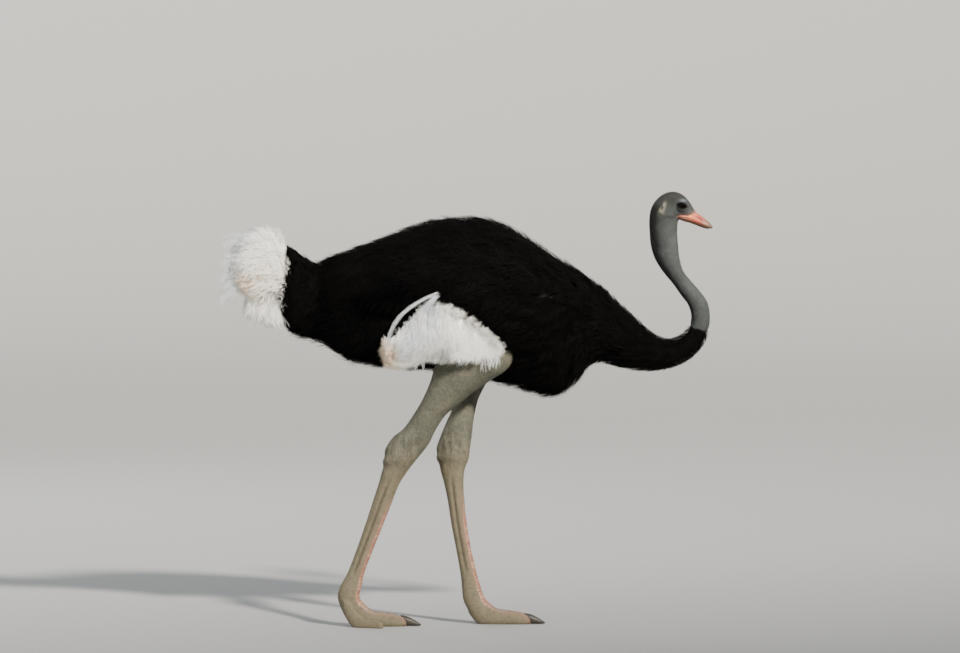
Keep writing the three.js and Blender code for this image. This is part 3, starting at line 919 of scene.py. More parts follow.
# which way a form runs at any place, and where that place is on its unrolled skin
def layGuide(form, low, high, chart):
    t, angle = np.meshgrid(np.linspace(low, high, 160), np.linspace(-math.pi, math.pi, 73))
    t, angle = t.ravel(), angle.ravel()
    here = surfacePoint(form, t, angle) * mm
    ahead = surfacePoint(form, t + 0.02, angle) * mm
    behind = surfacePoint(form, t - 0.02, angle) * mm
    left, bottom, wide, tall = chart
    u = left + wide * (t - low) / (high - low)
    v = bottom + tall * (angle / math.tau + 0.5)
    along = unit(ahead - behind)
    return {"tree": nearTree(here), "along": along, "uv": np.stack([u, v], 1), "t": t, "angle": angle}


# where spots are on the unrolled skin
def mapped(guide, spots):
    return np.array([guide["uv"][guide["tree"].find(spot)[1]] for spot in spots])


# sizes that differ a little from one feather to the next
def varied(sizes, amount, roots):
    return sizes * (1 + amount * chance.normal(size=len(roots)))


# places spread evenly over a mesh: random ones, thinned until none is nearer than its spacing
def scatter(bm, count, keep, spacing):
    bmesh.ops.triangulate(bm, faces=bm.faces)
    corners = np.array([[loop.vert.co for loop in face.loops] for face in bm.faces])
    area = np.linalg.norm(np.cross(corners[:, 1] - corners[:, 0], corners[:, 2] - corners[:, 0]), axis=1)
    area *= keep(corners.mean(1))
    pick = chance.choice(len(corners), count, p=area / area.sum())
    r1, r2 = np.sqrt(chance.random(count)), chance.random(count)
    w = np.stack([1 - r1, r1 * (1 - r2), r1 * r2], 1)
    spots = (corners[pick] * w[..., None]).sum(1)
    spots = spots[keep(spots)]
    room = spacing(spots)
    tree = nearTree(spots)
    taken = np.zeros(len(spots), bool)
    gone = np.zeros(len(spots), bool)
    for i, spot in enumerate(spots):
        if gone[i]:
            continue
        taken[i] = True
        for _, j, _ in tree.find_range(spot, room[i]):
            gone[j] = True
    return spots[taken]


# walks each feather over a surface with the lie of the coat; lay says how it turns, hangs and stops
def combPaths(surface, guide, roots, lengths, lay):
    steps = lay["steps"]
    paths = np.empty((len(roots), steps + 1, 3))
    facings = np.empty_like(paths)
    uv = np.empty((len(roots), 2))
    left = np.ones(len(roots))
    down = Vector((0, 0, -1))
    for i, root in enumerate(roots):
        spot, facing, _, _ = surface.find_nearest(Vector(root))
        stride = lengths[i] / steps
        _, near, _ = guide["tree"].find(spot)
        uv[i] = guide["uv"][near]
        stray = chance.normal(0, lay["stray"])
        heading = None
        hanging = False
        reached = steps
        for k in range(steps + 1):
            paths[i, k] = spot
            facings[i, k] = facing
            if lay["stop"] and k and lay["stop"](spot):
                reached = k
                break
            _, near, _ = guide["tree"].find(spot)
            way = Vector(lay["flow"](guide["along"][near], facing, spot))
            way = way - facing * way.dot(facing)
            if way.length < 1e-4:
                way = heading or down
            way.normalize()
            way = way + facing.cross(way) * stray
            if heading is not None:
                way = way * (1 - lay["steady"]) + heading * lay["steady"]
            if lay["hangs"] and (hanging or lay["hangs"](facing)):
                hanging = True
                way = way * 0.4 + down * 0.6
            way.normalize()
            heading = way
            ahead = spot + way * stride
            if hanging:
                spot = ahead
            else:
                spot, turned, _, _ = surface.find_nearest(ahead)
                facing = (facing * 0.45 + turned * 0.55).normalized()
        if reached < steps:
            left[i] = reached / steps
            share = np.linspace(0, reached, steps + 1)
            for axis in range(3):
                paths[i, :, axis] = np.interp(share, np.arange(reached + 1), paths[i, :reached + 1, axis])
                facings[i, :, axis] = np.interp(share, np.arange(reached + 1), facings[i, :reached + 1, axis])
    return paths, facings, uv, left


# one flat lock of barbs: f runs from 0 at the shaft to 1 at the tip, e is its edge, -1 or 1
def lockGrid(segments):
    bm = bmesh.new()
    bmesh.ops.create_grid(bm, x_segments=1, y_segments=segments, size=1)
    tips = [v for v in bm.verts if v.co.y > 0.999]
    bmesh.ops.pointmerge(bm, verts=tips, merge_co=(0, 1, 0))
    bmesh.ops.triangulate(bm, faces=bm.faces)
    f = np.array([(v.co.y + 1) / 2 for v in bm.verts])
    e = np.array([v.co.x for v in bm.verts])
    corners = np.array([[v.index for v in face.verts] for face in bm.faces])
    bm.free()
    return f, e, corners


# one feather as u along the shaft, v across and w up, all in shares of its length and half width
def vane(kind):
    f, e, corners = lockGrid(kind["lockSegments"])
    slim = kind["slim"]
    parts, faces, start = [], [], 0
    pairs = kind["pairs"]
    for i in range(pairs):
        at = kind["bare"] + (0.97 - kind["bare"]) * (i + 0.5 * chance.random()) / pairs
        for side in (-1, 1):
            wide = math.sin(math.pi * min(at * 0.80 + 0.14, 1)) ** kind["round"]
            wide *= 1 + chance.normal(0, kind["ragged"])
            sweep = kind["sweep"] * (1 + chance.normal(0, 0.22)) * (1.1 - 0.5 * at)
            lift = chance.normal(kind["lift"], kind["fluff"])
            curl = kind["curl"] * (1 + chance.normal(0, 0.4))
            phase, beat = chance.random() * math.tau, 1.2 + chance.random()
            wave = kind["wave"] * (0.4 + chance.random())

            def middle(f):
                ripple = wave * np.sin(math.tau * beat * f + phase) * f
                u = at + sweep * (0.30 * f + 0.70 * f ** 1.7) + ripple * slim * 0.5
                v = side * wide * np.sin(f * math.pi / 2 * 0.95) ** 0.9 + ripple
                return u, v

            u, v = middle(f)
            du, dv = (q - p for p, q in zip(middle(np.maximum(f - 0.02, 0)), middle(f + 0.02)))
            dv = dv * slim
            size = np.maximum(np.hypot(du, dv), 1e-9)
            half = kind["lockWide"] * (1 - 0.75 * f ** 1.5)
            u = u - e * half * dv / size
            v = v + e * half * du / size / slim
            w = lift * np.sin(f * math.pi * 0.6) - curl * f * f + 0.25 * e * side * half / slim
            parts.append(np.stack([u, v, w], 1))
            faces.append((corners if side > 0 else corners[:, ::-1]) + start)
            start += len(f)
    f, e, corners = lockGrid(kind["shaftSegments"])
    parts.append(np.stack([f, e * kind["shaftWide"] * (1 - 0.7 * f), 0.05 + 0 * f], 1))
    faces.append(corners + start)
    shape = np.vstack(parts)
    shape[:, 0] /= shape[:, 0].max()
    return shape, np.vstack(faces)


# weights that read a path of evenly spaced stations at u, and its slope there
def spread(u, stations):
    reach = np.clip(u, 0, 1) * (stations - 1)
    low = np.minimum(reach.astype(int), stations - 2)
    share = u * (stations - 1) - low
    at = np.zeros((len(u), stations))
    slope = np.zeros_like(at)
    rows = np.arange(len(u))
    at[rows, low] = 1 - share
    at[rows, low + 1] = share
    slope[rows, low] = -1
    slope[rows, low + 1] = 1
    return at, slope


pieceLimit = 160000  # triangles that a piece of coat is split at
patchSize = 0.003  # how wide a feather's patch is on the OFBake map
floorGap = 0.0005  # how near the floor a feather may come


# joins one feather for each path into pieces under the triangle limit, each with its OFBake map
def dress(name, kind, paths, facings, widths, uv, material, slotName, tone=None):
    if tone is None:
        tone = np.zeros(len(paths))
    shapes = [vane(kind) for _ in range(kind["variants"])]
    each = max(len(faces) for _, faces in shapes)
    perPiece = int(pieceLimit / each)
    order = np.argsort(paths[:, 0, 0], kind="stable")
    pieces = []
    count = math.ceil(len(order) / perPiece)
    for number, batch in enumerate(np.array_split(order, max(count, 1))):
        verts, faces, maps, along, shade, tones, start = [], [], [], [], [], [], 0
        which = chance.integers(0, len(shapes), len(batch))
        for n, (shape, corners) in enumerate(shapes):
            mine = batch[which == n]
            if not len(mine):
                continue
            u, v, w = shape.T
            at, slope = spread(u, paths.shape[1])
            spot = np.einsum("vs,nsd->nvd", at, paths[mine])
            up = unit(np.einsum("vs,nsd->nvd", at, facings[mine]))
            run = unit(np.einsum("vs,nsd->nvd", slope, paths[mine]))
            side = unit(np.cross(up, run))
            wide = widths[mine][:, None, None]
            spot = spot + side * (v[None, :, None] * wide) + up * (w[None, :, None] * wide)
            spot[..., 2] -= kind["sag"] * (v[None] ** 2) * widths[mine][:, None]
            size = len(shape)
            verts.append(spot.reshape(-1, 3))
            index = np.arange(len(mine))[:, None, None] * size + corners[None] + start
            faces.append(index.reshape(-1, 3))
            patch = np.stack([np.clip(u, 0, 1), np.clip(v * 0.5 + 0.5, 0, 1)], 1) * patchSize
            maps.append((uv[mine][:, None] + patch[None]).reshape(-1, 2))
            along.append(np.tile(np.clip(u, 0, 1), len(mine)))
            shade.append(np.repeat(chance.random(len(mine)), size))
            tones.append(np.repeat(tone[mine], size))
            start += size * len(mine)
        pieces.append(joinedMesh(
            f"{name}_{number + 1}" if count > 1 else name,
            np.vstack(verts), np.vstack(faces), np.vstack(maps),
            {"along": np.concatenate(along), "shade": np.concatenate(shade), "tone": np.concatenate(tones)},
        ))
        settle(pieces[-1], material, slotName)
    print(name, len(paths), "feathers,", sum(len(p.data.polygons) for p in pieces), "triangles")
    return pieces


# white plumes, without those that an edge cuts too short
def dressLong(name, paths, facings, widths, uv, material, tone, left, atLeast):
    kept = left > atLeast
    widths = widths * (0.4 + 0.6 * left)
    paths, facings, widths, uv, tone = (values[kept] for values in (paths, facings, widths, uv, tone))
    return dress(name, plumeFeather, paths, facings, widths, uv, material, "white_plumage", tone)


def joinedMesh(name, verts, faces, maps, fields):
    verts[:, 2] = np.maximum(verts[:, 2], floorGap)
    mesh = bpy.data.meshes.new(name)
    mesh.vertices.add(len(verts))
    mesh.vertices.foreach_set("co", verts.ravel())
    mesh.loops.add(faces.size)
    mesh.loops.foreach_set("vertex_index", faces.ravel())
    mesh.polygons.add(len(faces))
    mesh.polygons.foreach_set("loop_start", np.arange(len(faces)) * 3)
    mesh.polygons.foreach_set("loop_total", np.full(len(faces), 3))
    mesh.update()
    layer = mesh.uv_layers.new(name="OFBake")
    layer.uv.foreach_set("vector", maps[faces.ravel()].ravel())
    for field, values in fields.items():
        mesh.attributes.new(field, "FLOAT", "POINT").data.foreach_set("value", values)
    mesh.validate()
    return linked(name, mesh)


bodyFeather = {
    "pairs": 26, "lockSegments": 3, "shaftSegments": 5, "variants": 8, "slim": 0.22,
    "bare": 0.08, "round": 0.5, "ragged": 0.20, "sweep": 0.40, "lift": 0.09, "fluff": 0.13,
    "curl": 0.20, "wave": 0.12, "lockWide": 0.0068, "shaftWide": 0.02, "sag": 0.10,
}
plumeFeather = {
    "pairs": 36, "lockSegments": 3, "shaftSegments": 6, "variants": 9, "slim": 0.17,
    "bare": 0.04, "round": 0.45, "ragged": 0.26, "sweep": 0.42, "lift": 0.14, "fluff": 0.27,
    "curl": 0.20, "wave": 0.19, "lockWide": 0.0056, "shaftWide": 0.02, "sag": 0.12,
}
looseFeather = {**plumeFeather, "pairs": 16, "lockWide": 0.0042, "wave": 0.26, "sweep": 0.30, "fluff": 0.40}
softTuft = {
    **plumeFeather, "pairs": 14, "lockWide": 0.0100, "slim": 0.34, "wave": 0.22, "sweep": 0.55,
    "fluff": 0.45, "curl": 0.35,
}
ridgeTuft = {**softTuft, "pairs": 18, "fluff": 0.22, "curl": 0.2}
tuft = {"count": 130, "long": 0.034, "wide": 0.0125}
strand = {**looseFeather, "pairs": 12, "lockWide": 0.0022, "shaftWide": 0.22, "slim": 0.05, "shaftSegments": 10}
wisp = {"count": 44, "heights": (1.10, 1.29), "long": 0.085, "wide": 0.013}
neckFeather = {
    "pairs": 6, "lockSegments": 2, "shaftSegments": 2, "variants": 8, "slim": 0.20,
    "bare": 0.05, "round": 0.5, "ragged": 0.2, "sweep": 0.50, "lift": 0.06, "fluff": 0.12,
    "curl": 0.08, "wave": 0.06, "lockWide": 0.020, "shaftWide": 0.04, "sag": 0.0,
}


# which spots lie inside any of the closed forms
def insideOf(trees, spots):
    result = np.zeros(len(spots), bool)
    for tree in trees:
        for i, spot in enumerate(spots):
            near, facing, _, _ = tree.find_nearest(Vector(spot), 0.25)
            if near is not None and (Vector(spot) - near).dot(facing) < 0:
                result[i] = True
    return result


# feathers start at the skin, coat below the outline, and rise to it towards their tips
def raisePaths(paths, facings, coat, tips):
    share = np.linspace(0, 1, paths.shape[1])
    rise = np.sin(share * math.pi / 2) ** 1.2
    height = -coat[:, None] * (1 - rise)[None] + tips[:, None] * (share ** 3)[None]
    return paths + facings * height[..., None]


plumage = {
    "bodySpacing": 0.0225,
    "bodyLong": 0.225,
    "bodyWide": 0.036,
    "tailLeft": 0.25,  # share of its length that a plume has to have left before an edge cuts it off
    "wingLeft": 0.32,
}
# how many places are tried before they are thinned
tries = {"body": 30000, "neck": 42000, "tail": 16000, "wing": 14000, "ridge": 6000, "down": 60000}
coreDepth = {"coverts": 21.0, "body": 13.0, "tail": 24.0, "wing": 19.0, "ridge": 13.0}  # below the outline, in mm
charts = {"body": (0.02, 0.02, 0.60, 0.96), "tail": (0.64, 0.02, 0.16, 0.96)}  # left, bottom, width and height
wingChart = {1: (0.82, 0.02, 0.16, 0.22), -1: (0.82, 0.26, 0.16, 0.22)}


whiteEdge = {
    "x": [-268, -257, -246, -234, -210, -181, -166, -145, -128, -95, -82, -66, -48, -10, 40, 76, 114, 126, 133],
    "top": [932, 953, 962, 972, 998, 1016, 1034, 1056, 1076, 1094, 1066, 1056, 1070, 1051, 1032, 990, 970, 955, 940],
    "hem": [915, 872, 858, 848, 852, 868, 880, 888, 891, 889, 887, 884, 881, 888, 893, 896, 908, 928, 938],
}


# the height of the white patch's top or hem at x, all in millimetres
def whiteAt(edge, x):
    return np.interp(x, whiteEdge["x"], whiteEdge[edge])


# how far inside the white patch on the flank a spot is, in metres: less than 0 outside
def insideWhite(spots):
    x, z = spots[..., 0] / mm, spots[..., 2] / mm
    ends = np.minimum(x - whiteEdge["x"][0], whiteEdge["x"][-1] - x)
    gap = np.minimum(np.minimum(whiteAt("top", x) - z, z - whiteAt("hem", x)), ends)
    return np.where(np.abs(spots[..., 1]) > 0.10, gap * mm, -1.0)


# the dark plumage of trunk, folded wings and tail coverts, from the neck's root to the tail
def makeBodyCoat(material):
    outer = meshPiece(drawnOut(spine, 90, 56, lambda share: share * collarAt), "outerShape")
    others = [meshPiece(drawnOut(form, 26, 30), "wingOuter") for form in (wingForm, mirrored(wingForm))]
    others.append(meshPiece(drawnOut(tailCoverts, 16, 40), "covertOuter"))
    union(outer, others)
    bm = workMesh(outer)
    bpy.data.objects.remove(outer)
    soften(bm, bm.verts, 0.4, 3)
    surface = BVHTree.FromBMesh(bm)
    guide = layGuide(spine, 0, collarAt, charts["body"])
    legTrees = [treeOf(drawnOut(leg["form"], 60, 24)) for leg in legs.values()]

    def keepBody(spots):
        return (spots[:, 0] < 0.455) & (spots[:, 0] > -0.594) & (insideWhite(spots) < 0.006)

    def bodySpacing(spots):
        front = smoothstep(0.30, 0.46, spots[:, 0])
        tail = 1 - smoothstep(-0.50, -0.40, spots[:, 0])
        return plumage["bodySpacing"] * (1 - 0.45 * front) * (1 - 0.52 * tail)

    roots = scatter(bm, tries["body"], keepBody, bodySpacing)
    roots = roots[~insideOf(legTrees, roots)]
    front = smoothstep(0.28, 0.46, roots[:, 0])
    belly = 1 - smoothstep(0.84, 0.96, roots[:, 2])
    tail = 1 - smoothstep(-0.52, -0.40, roots[:, 0])
    lengths = plumage["bodyLong"] * (1 - 0.50 * front) * (1 - 0.35 * belly * (1 - front)) * (1 - 0.40 * tail)
    lengths = varied(lengths, 0.16, roots)
    widths = varied(plumage["bodyWide"] * (1 - 0.42 * front) * (1 - 0.12 * tail), 0.14, roots)

    def flow(along, facing, spot):
        flank = 1 - abs(facing.z)
        fall = 0.55 * flank * (1 if spot.x > -0.42 else 0.2)
        return -along[0], -along[1], -along[2] - fall

    def stop(spot):
        atTail = spot.x < -0.598 - 0.018 * chance.random()
        return atTail or insideWhite(np.array(spot)) > 0.004 + 0.016 * chance.random()

    lay = {"steps": 7, "stray": 0.18, "steady": 0.35, "hangs": None, "flow": flow, "stop": stop}
    paths, facings, uv, left = combPaths(surface, guide, roots, lengths, lay)
    coat = np.interp(roots[:, 0], [-0.6, -0.5, -0.4, 0.33, 0.46], [0.016, 0.024, 0.04, 0.038, 0.026])
    tips = 0.003 + 0.006 * chance.random(len(roots))
    paths = raisePaths(paths, facings, coat, tips)
    widths *= 0.35 + 0.65 * left
    made = dress("bodyFeathers", bodyFeather, paths, facings, widths, uv, material, "dark_plumage")
    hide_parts("tail_coverts")
    makeCore("covertCore", tailCoverts, coreDepth["coverts"], guide, material, "back", "dark_plumage")
    makeCore("bodyCore", spine[:collarAt + 1], coreDepth["body"], guide, material, "back", "dark_plumage")
    return bm, surface, guide


# short dense feathers on the neck's dark root, smallest at the collar
def makeNeckCoat(material, bm, surface, guide):
    def keepNeck(spots):
        return spots[:, 0] > 0.425

    def neckSpacing(spots):
        gone = smoothstep(0.43, 0.70, spots[:, 0])
        return 0.0135 - 0.0078 * gone

    roots = scatter(bm, tries["neck"], keepNeck, neckSpacing)
    gone = smoothstep(0.43, 0.74, roots[:, 0])
    high = smoothstep(0.90, 0.98, roots[:, 2]) * gone
    lengths = varied(0.112 - 0.070 * gone - 0.016 * high, 0.15, roots)
    widths = varied(0.018 - 0.0125 * gone, 0.12, roots)

    def flow(along, facing, spot):
        return -along[0], -along[1], -along[2] - 0.12

    lay = {"steps": 4, "stray": 0.2, "steady": 0.3, "hangs": None, "flow": flow, "stop": None}
    paths, facings, uv, _ = combPaths(surface, guide, roots, lengths, lay)
    coat = 0.026 - 0.018 * gone
    paths = raisePaths(paths, facings, coat, 0.001 + 0.0025 * chance.random(len(roots)))
    dress("neckFeathers", neckFeather, paths, facings, widths, uv, material, "dark_plumage")


# the cores get a strand tone partway from root to tip, and tone -0.1 gives them a slight bluish painted shade
coreTone = {"along": 0.3, "shade": 0.3, "tone": -0.1}


# the packed down inside a bunch of plumes, so that nothing shows through them, combed into fine locks
def makeCore(name, form, depth, guide, material, combed, slotName="white_plumage"):
    rings, around = (88, 40) if combed == "down" else (36, 120)
    bm = drawnOut(form, rings, around, None, evenly(depth), True)
    bmesh.ops.triangulate(bm, faces=bm.faces)
    bm.normal_update()
    height = chance.normal(0, 2.2, 400)
    for vert in bm.verts:
        x, y, z = vert.co / mm
        if combed == "down":
            across = x / 3.4 + 1.6 * math.sin(z / 21 + x / 37)
        else:
            across = 16 * math.atan2(y, z - 1140) + 1.3 * math.sin(x / 17 + y / 29)
        vert.co += vert.normal * float(np.interp(across % 399, np.arange(400), height)) * mm
    verts = np.array([v.co for v in bm.verts])
    faces = np.array([[v.index for v in face.verts] for face in bm.faces])
    bm.free()
    uv = mapped(guide, verts)
    flat = {field: np.full(len(verts), value) for field, value in coreTone.items()}
    settle(joinedMesh(name, verts, faces, uv, flat), material, slotName)


# a ball of soft white plumes that run back from the coverts and droop at the end, with loose wisps behind it
def makeTailPlumes(material):
    bm = drawnOut(tailBall, 40, 48, ordered=True)
    surface = BVHTree.FromBMesh(bm)
    guide = layGuide(tailBall, 0, len(tailBall) - 1, charts["tail"])

    def tailSpacing(spots):
        return 0.0142 - 0.003 * (spots[:, 2] < 1.09) - 0.0035 * (spots[:, 0] < -0.735)

    roots = scatter(bm, tries["tail"], lambda spots: spots[:, 0] > -0.776, tailSpacing)
    back = smoothstep(-0.60, -0.75, roots[:, 0])
    lengths = varied(0.170 - 0.095 * back, 0.18, roots)
    widths = varied(0.024 - 0.006 * back, 0.15, roots)

    def flow(along, facing, spot):
        low = float(smoothstep(1.11, 1.04, spot.z))
        rear = max(0.0, -facing.x - 0.55)
        return along[0] * (1 - 0.7 * low), along[1] * (1 - low), along[2] - 0.12 - 1.4 * low - 1.2 * rear

    def hangs(facing):
        return facing.z < -0.62

    def stop(spot):
        ragged = math.sin(spot.x * 90 + spot.y * 40) + math.sin(spot.x * 230 - spot.y * 90)
        return spot.z < 1.016 + 0.006 * ragged - 0.012 * chance.random() or spot.x < -0.790

    lay = {"steps": 7, "stray": 0.20, "steady": 0.35, "hangs": hangs, "flow": flow, "stop": stop}
    paths, facings, uv, left = combPaths(surface, guide, roots, lengths, lay)
    sunk = 0.030 + 0.022 * smoothstep(-0.620, -0.590, roots[:, 0])
    paths = raisePaths(paths, facings, sunk, 0.007 * chance.random(len(roots)))
    patch = 1.2 * bump(-0.650, 0.05, roots[:, 0]) * bump(1.128, 0.032, roots[:, 2])
    # painted shade: a bluish grey tint on the ball's top, its rear and its underside, carried by the negative tone
    sky = 0.6 * smoothstep(1.25, 1.31, roots[:, 2]) + 0.35 * smoothstep(-0.72, -0.76, roots[:, 0])
    sky += 0.4 * smoothstep(1.07, 1.04, roots[:, 2])
    tone = patch - np.clip(sky, 0, 0.8)
    made = dressLong("tailPlumes", paths, facings, widths, uv, material, tone, left, plumage["tailLeft"])
    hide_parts("tail_plumes")
    ball = shortened(tailBall, [-775, -700, -560], [-752, -696, -560])
    makeCore("tailCore", ball, coreDepth["tail"], guide, material, "back")
    makeWisps(guide, material)


# single plumes that stand out behind the tail
def makeWisps(guide, material):
    paths, facings = [], []
    for _ in range(wisp["count"]):
        turn = chance.uniform(-1.2, 1.2)
        height = chance.uniform(*wisp["heights"])
        lean = np.array([-1.0, 0.30 * math.sin(turn), 0.9 * (height - 1.15) / 0.15 * 0.5])
        start = np.array([-0.735, 0.085 * math.sin(turn), height])
        long = wisp["long"] * (0.6 + 0.5 * chance.random())
        share = np.linspace(0, 1, 8)[:, None]
        line = start + long * (share * unit(lean) + share ** 2 * np.array([0.10, 0.0, -0.42]))
        line += share * chance.normal(0, 0.004, 3)
        line[:, 0] = np.maximum(line[:, 0], -0.812)
        paths.append(line)
        facings.append(np.tile(unit(np.array([-0.3, math.sin(turn), 0.5])), (8, 1)))
    paths, facings = np.array(paths), np.array(facings)
    uv = mapped(guide, paths[:, 0])
    widths = wisp["wide"] * (0.7 + 0.6 * chance.random(len(paths)))
    # painted shade: the wisps behind the tail carry a bluish grey tint
    tone = np.full(len(paths), -0.6)
    dress("tailWisps", looseFeather, paths, facings, widths, uv, material, "white_plumage", tone=tone)


# white plumes that hang in locks from under the folded wing
def makeWingPlumes(name, side, material):
    form = onSide(plumeForm, side)
    bm = drawnOut(form, *plumeGrid, ordered=True)
    surface = BVHTree.FromBMesh(bm)
    guide = layGuide(form, 0, len(form) - 1, wingChart[side])

    def keep(spots):
        top = whiteAt("top", spots[:, 0] / mm) * mm
        behind = (spots[:, 0] < -0.195) & (spots[:, 2] < top + 0.006)
        low = np.where(behind, 0.868, 0.885)
        seen = (side * spots[:, 1] > 0.165) & (insideWhite(spots) > -0.012)
        inner = (side * spots[:, 1] > 0.10) & (spots[:, 0] < -0.05) & (insideWhite(spots) > -0.004)
        return (seen | behind | inner) & (spots[:, 2] > low)

    roots = scatter(bm, tries["wing"], keep, lambda spots: 0.0128 - 0.0024 * smoothstep(-0.15, -0.20, spots[:, 0]))
    high = smoothstep(0.90, 1.06, roots[:, 2])
    lengths = varied(0.070 + 0.075 * high, 0.20, roots)
    lengths *= 1 - 0.30 * smoothstep(-0.205, -0.250, roots[:, 0])
    widths = varied(0.015 + 0.006 * high, 0.15, roots)

    def flow(along, facing, spot):
        back = float(smoothstep(-0.10, -0.20, spot.x) * smoothstep(-0.250, -0.220, spot.x))
        return -0.10 - 0.42 * back + 0.30 * float(smoothstep(0.0, 0.10, spot.x)), 0.0, -1.0

    def hangs(facing):
        return facing.z < -0.25

    def stop(spot):
        hem = whiteAt("hem", spot.x / mm) * mm
        out = spot.x > -0.19 and insideWhite(np.array(spot)) < -0.016
        return spot.z < hem + 0.002 - 0.014 * chance.random() ** 2 or out

    lay = {"steps": 9, "stray": 0.18, "steady": 0.3, "hangs": hangs, "flow": flow, "stop": stop}
    paths, facings, uv, left = combPaths(surface, guide, roots, lengths, lay)
    edge = smoothstep(0.010, -0.010, insideWhite(roots))
    depth = 0.016 + 0.010 * edge
    paths = raisePaths(paths, facings, depth, 0.008 * chance.random(len(roots)))
    patch = 0.75 * smoothstep(-0.170, -0.250, roots[:, 0]) * smoothstep(1.005, 0.930, roots[:, 2])
    patch *= 1 + 0.4 * chance.normal(size=len(roots))
    # painted shade: a bluish grey band down the plumes' shaded rear side, carried by the negative tone
    band = np.interp(roots[:, 2], [0.918, 0.965, 1.024, 1.078], [-0.181, -0.175, -0.157, -0.098])
    paintedShade = 0.85 * bump(0, 0.020, roots[:, 0] - band) * smoothstep(0.90, 0.94, roots[:, 2])
    tone = patch - paintedShade
    made = dressLong(name, paths, facings, widths, uv, material, tone, left, plumage["wingLeft"])
    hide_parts(f"wing_plumes_{'left' if side > 0 else 'right'}")
    core = []
    for a, b, sizes in shortened(form, [-264, -210, 60, 131], [-243, -202, 58, 116]):
        top = whiteAt("top", a[0]) + 11
        hem = whiteAt("hem", b[0])
        core.append(((a[0], a[1], max(min(a[2], top), hem + 33)), (b[0], b[1], max(b[2], hem - 5)), sizes))
    makeCore(name.replace("Plumes", "Core"), core, coreDepth["wing"], guide, material, "down")
    makeRidge(name.replace("Plumes", "Ridge"), side, core, guide, material)


# a form with its ends drawn in along x, so that they lie as deep as its sides do
def shortened(form, marks, places):
    def move(p):
        return float(np.interp(p[0], marks, places)), p[1], p[2]

    return [(move(a), move(b), sizes) for a, b, sizes in form]


# short plumes laid over the ridge of a wing's bunch, between the body and the plumes outside it
def makeRidge(name, side, core, guide, material):
    bm = drawnOut(core, 60, 40, None, evenly(coreDepth["ridge"]), True)
    surface = BVHTree.FromBMesh(bm)

    def keepRidge(spots):
        top = whiteAt("top", spots[:, 0] / mm) * mm
        return (spots[:, 0] < -0.055) & (spots[:, 2] > np.minimum(top - 0.034, 0.935))

    roots = scatter(bm, tries["ridge"], keepRidge, lambda spots: np.full(len(spots), 0.0152))
    lengths = varied(0.046, 0.2, roots)
    widths = varied(0.011, 0.15, roots)

    def flow(along, facing, spot):
        return -0.45, 0.45 * side, -1.0

    lay = {"steps": 4, "stray": 0.25, "steady": 0.3, "hangs": None, "flow": flow, "stop": None}
    paths, facings, uv, _ = combPaths(surface, guide, roots, lengths, lay)
    paths = raisePaths(paths, facings, np.full(len(roots), 0.005), 0.001 + 0.004 * chance.random(len(roots)))
    patch = 0.75 * smoothstep(-0.170, -0.250, roots[:, 0]) * smoothstep(1.005, 0.930, roots[:, 2])
    # painted shade: the ridge's plumes carry a bluish grey tint, along with the wing's tan patch
    dress(name, ridgeTuft, paths, facings, widths, uv, material, "white_plumage", tone=patch - 0.3)


# long white quills that arch over the back end of the wing plumes, in an outer row and an inner one
quill = {
    **plumeFeather, "pairs": 34, "sweep": 0.12, "lockWide": 0.0032, "shaftWide": 0.10, "wave": 0.06, "fluff": 0.10,
}
quillLine = [
    (-52, 240, 1126), (-84, 271, 1116), (-118, 283, 1101), (-156, 277, 1081), (-196, 266, 1053), (-228, 255, 1020),
    (-247, 246, 980), (-259, 236, 944), (-258, 227, 902), (-243, 217, 858),
]
quillHub = (-112, 236, 940)
# where a loose curled strand hangs, how far below the hem it reaches, and how many there are
strandSpots = [(48, 112, 48, 24), (-172, -132, 36, 9), (-20, 48, 22, 26), (-128, -70, 14, 12)]


def makeQuills(name, side, guide, material):
    paths, tones, widths = [], [], []
    line = curveThrough(quillLine, np.linspace(0, len(quillLine) - 1, 15))
    inward = unit(np.array(quillHub) - line)
    share = np.linspace(0, 1, 15)
    opened = smoothstep(0.06, 0.42, share) * (1 - 0.75 * smoothstep(0.66, 1.0, share))
    for row, number in [("outer", k) for k in range(4)] + [("inner", k) for k in range(6)]:
        if row == "outer":
            shift = np.full(15, 2.2 * number)
        else:
            shift = 6.0 + 1.2 * number + opened * (33.0 + 4.5 * number)
        path = line + inward * shift[:, None] + chance.normal(0, 0.7, 3)
        path[:, 1] += 2.5 - 0.8 * number
        path[:, 1] *= side
        paths.append(path * mm)
        # painted shade: the quills carry a bluish grey tint, deeper on the inner row
        tones.append(-0.5 if row == "outer" else -0.75)
        widths.append(0.0052 if row == "outer" else 0.0095)
    paths = np.array(paths)
    turns = chance.normal(0, 0.35, (len(paths), 1, 3)) + np.array([-0.25, side * 1.2, 0.35])
    facings = unit(np.tile(turns, (1, 15, 1)))
    uv = mapped(guide, paths[:, 0])
    dress(name, quill, paths, facings, np.array(widths), uv, material, "white_plumage", tone=np.array(tones))


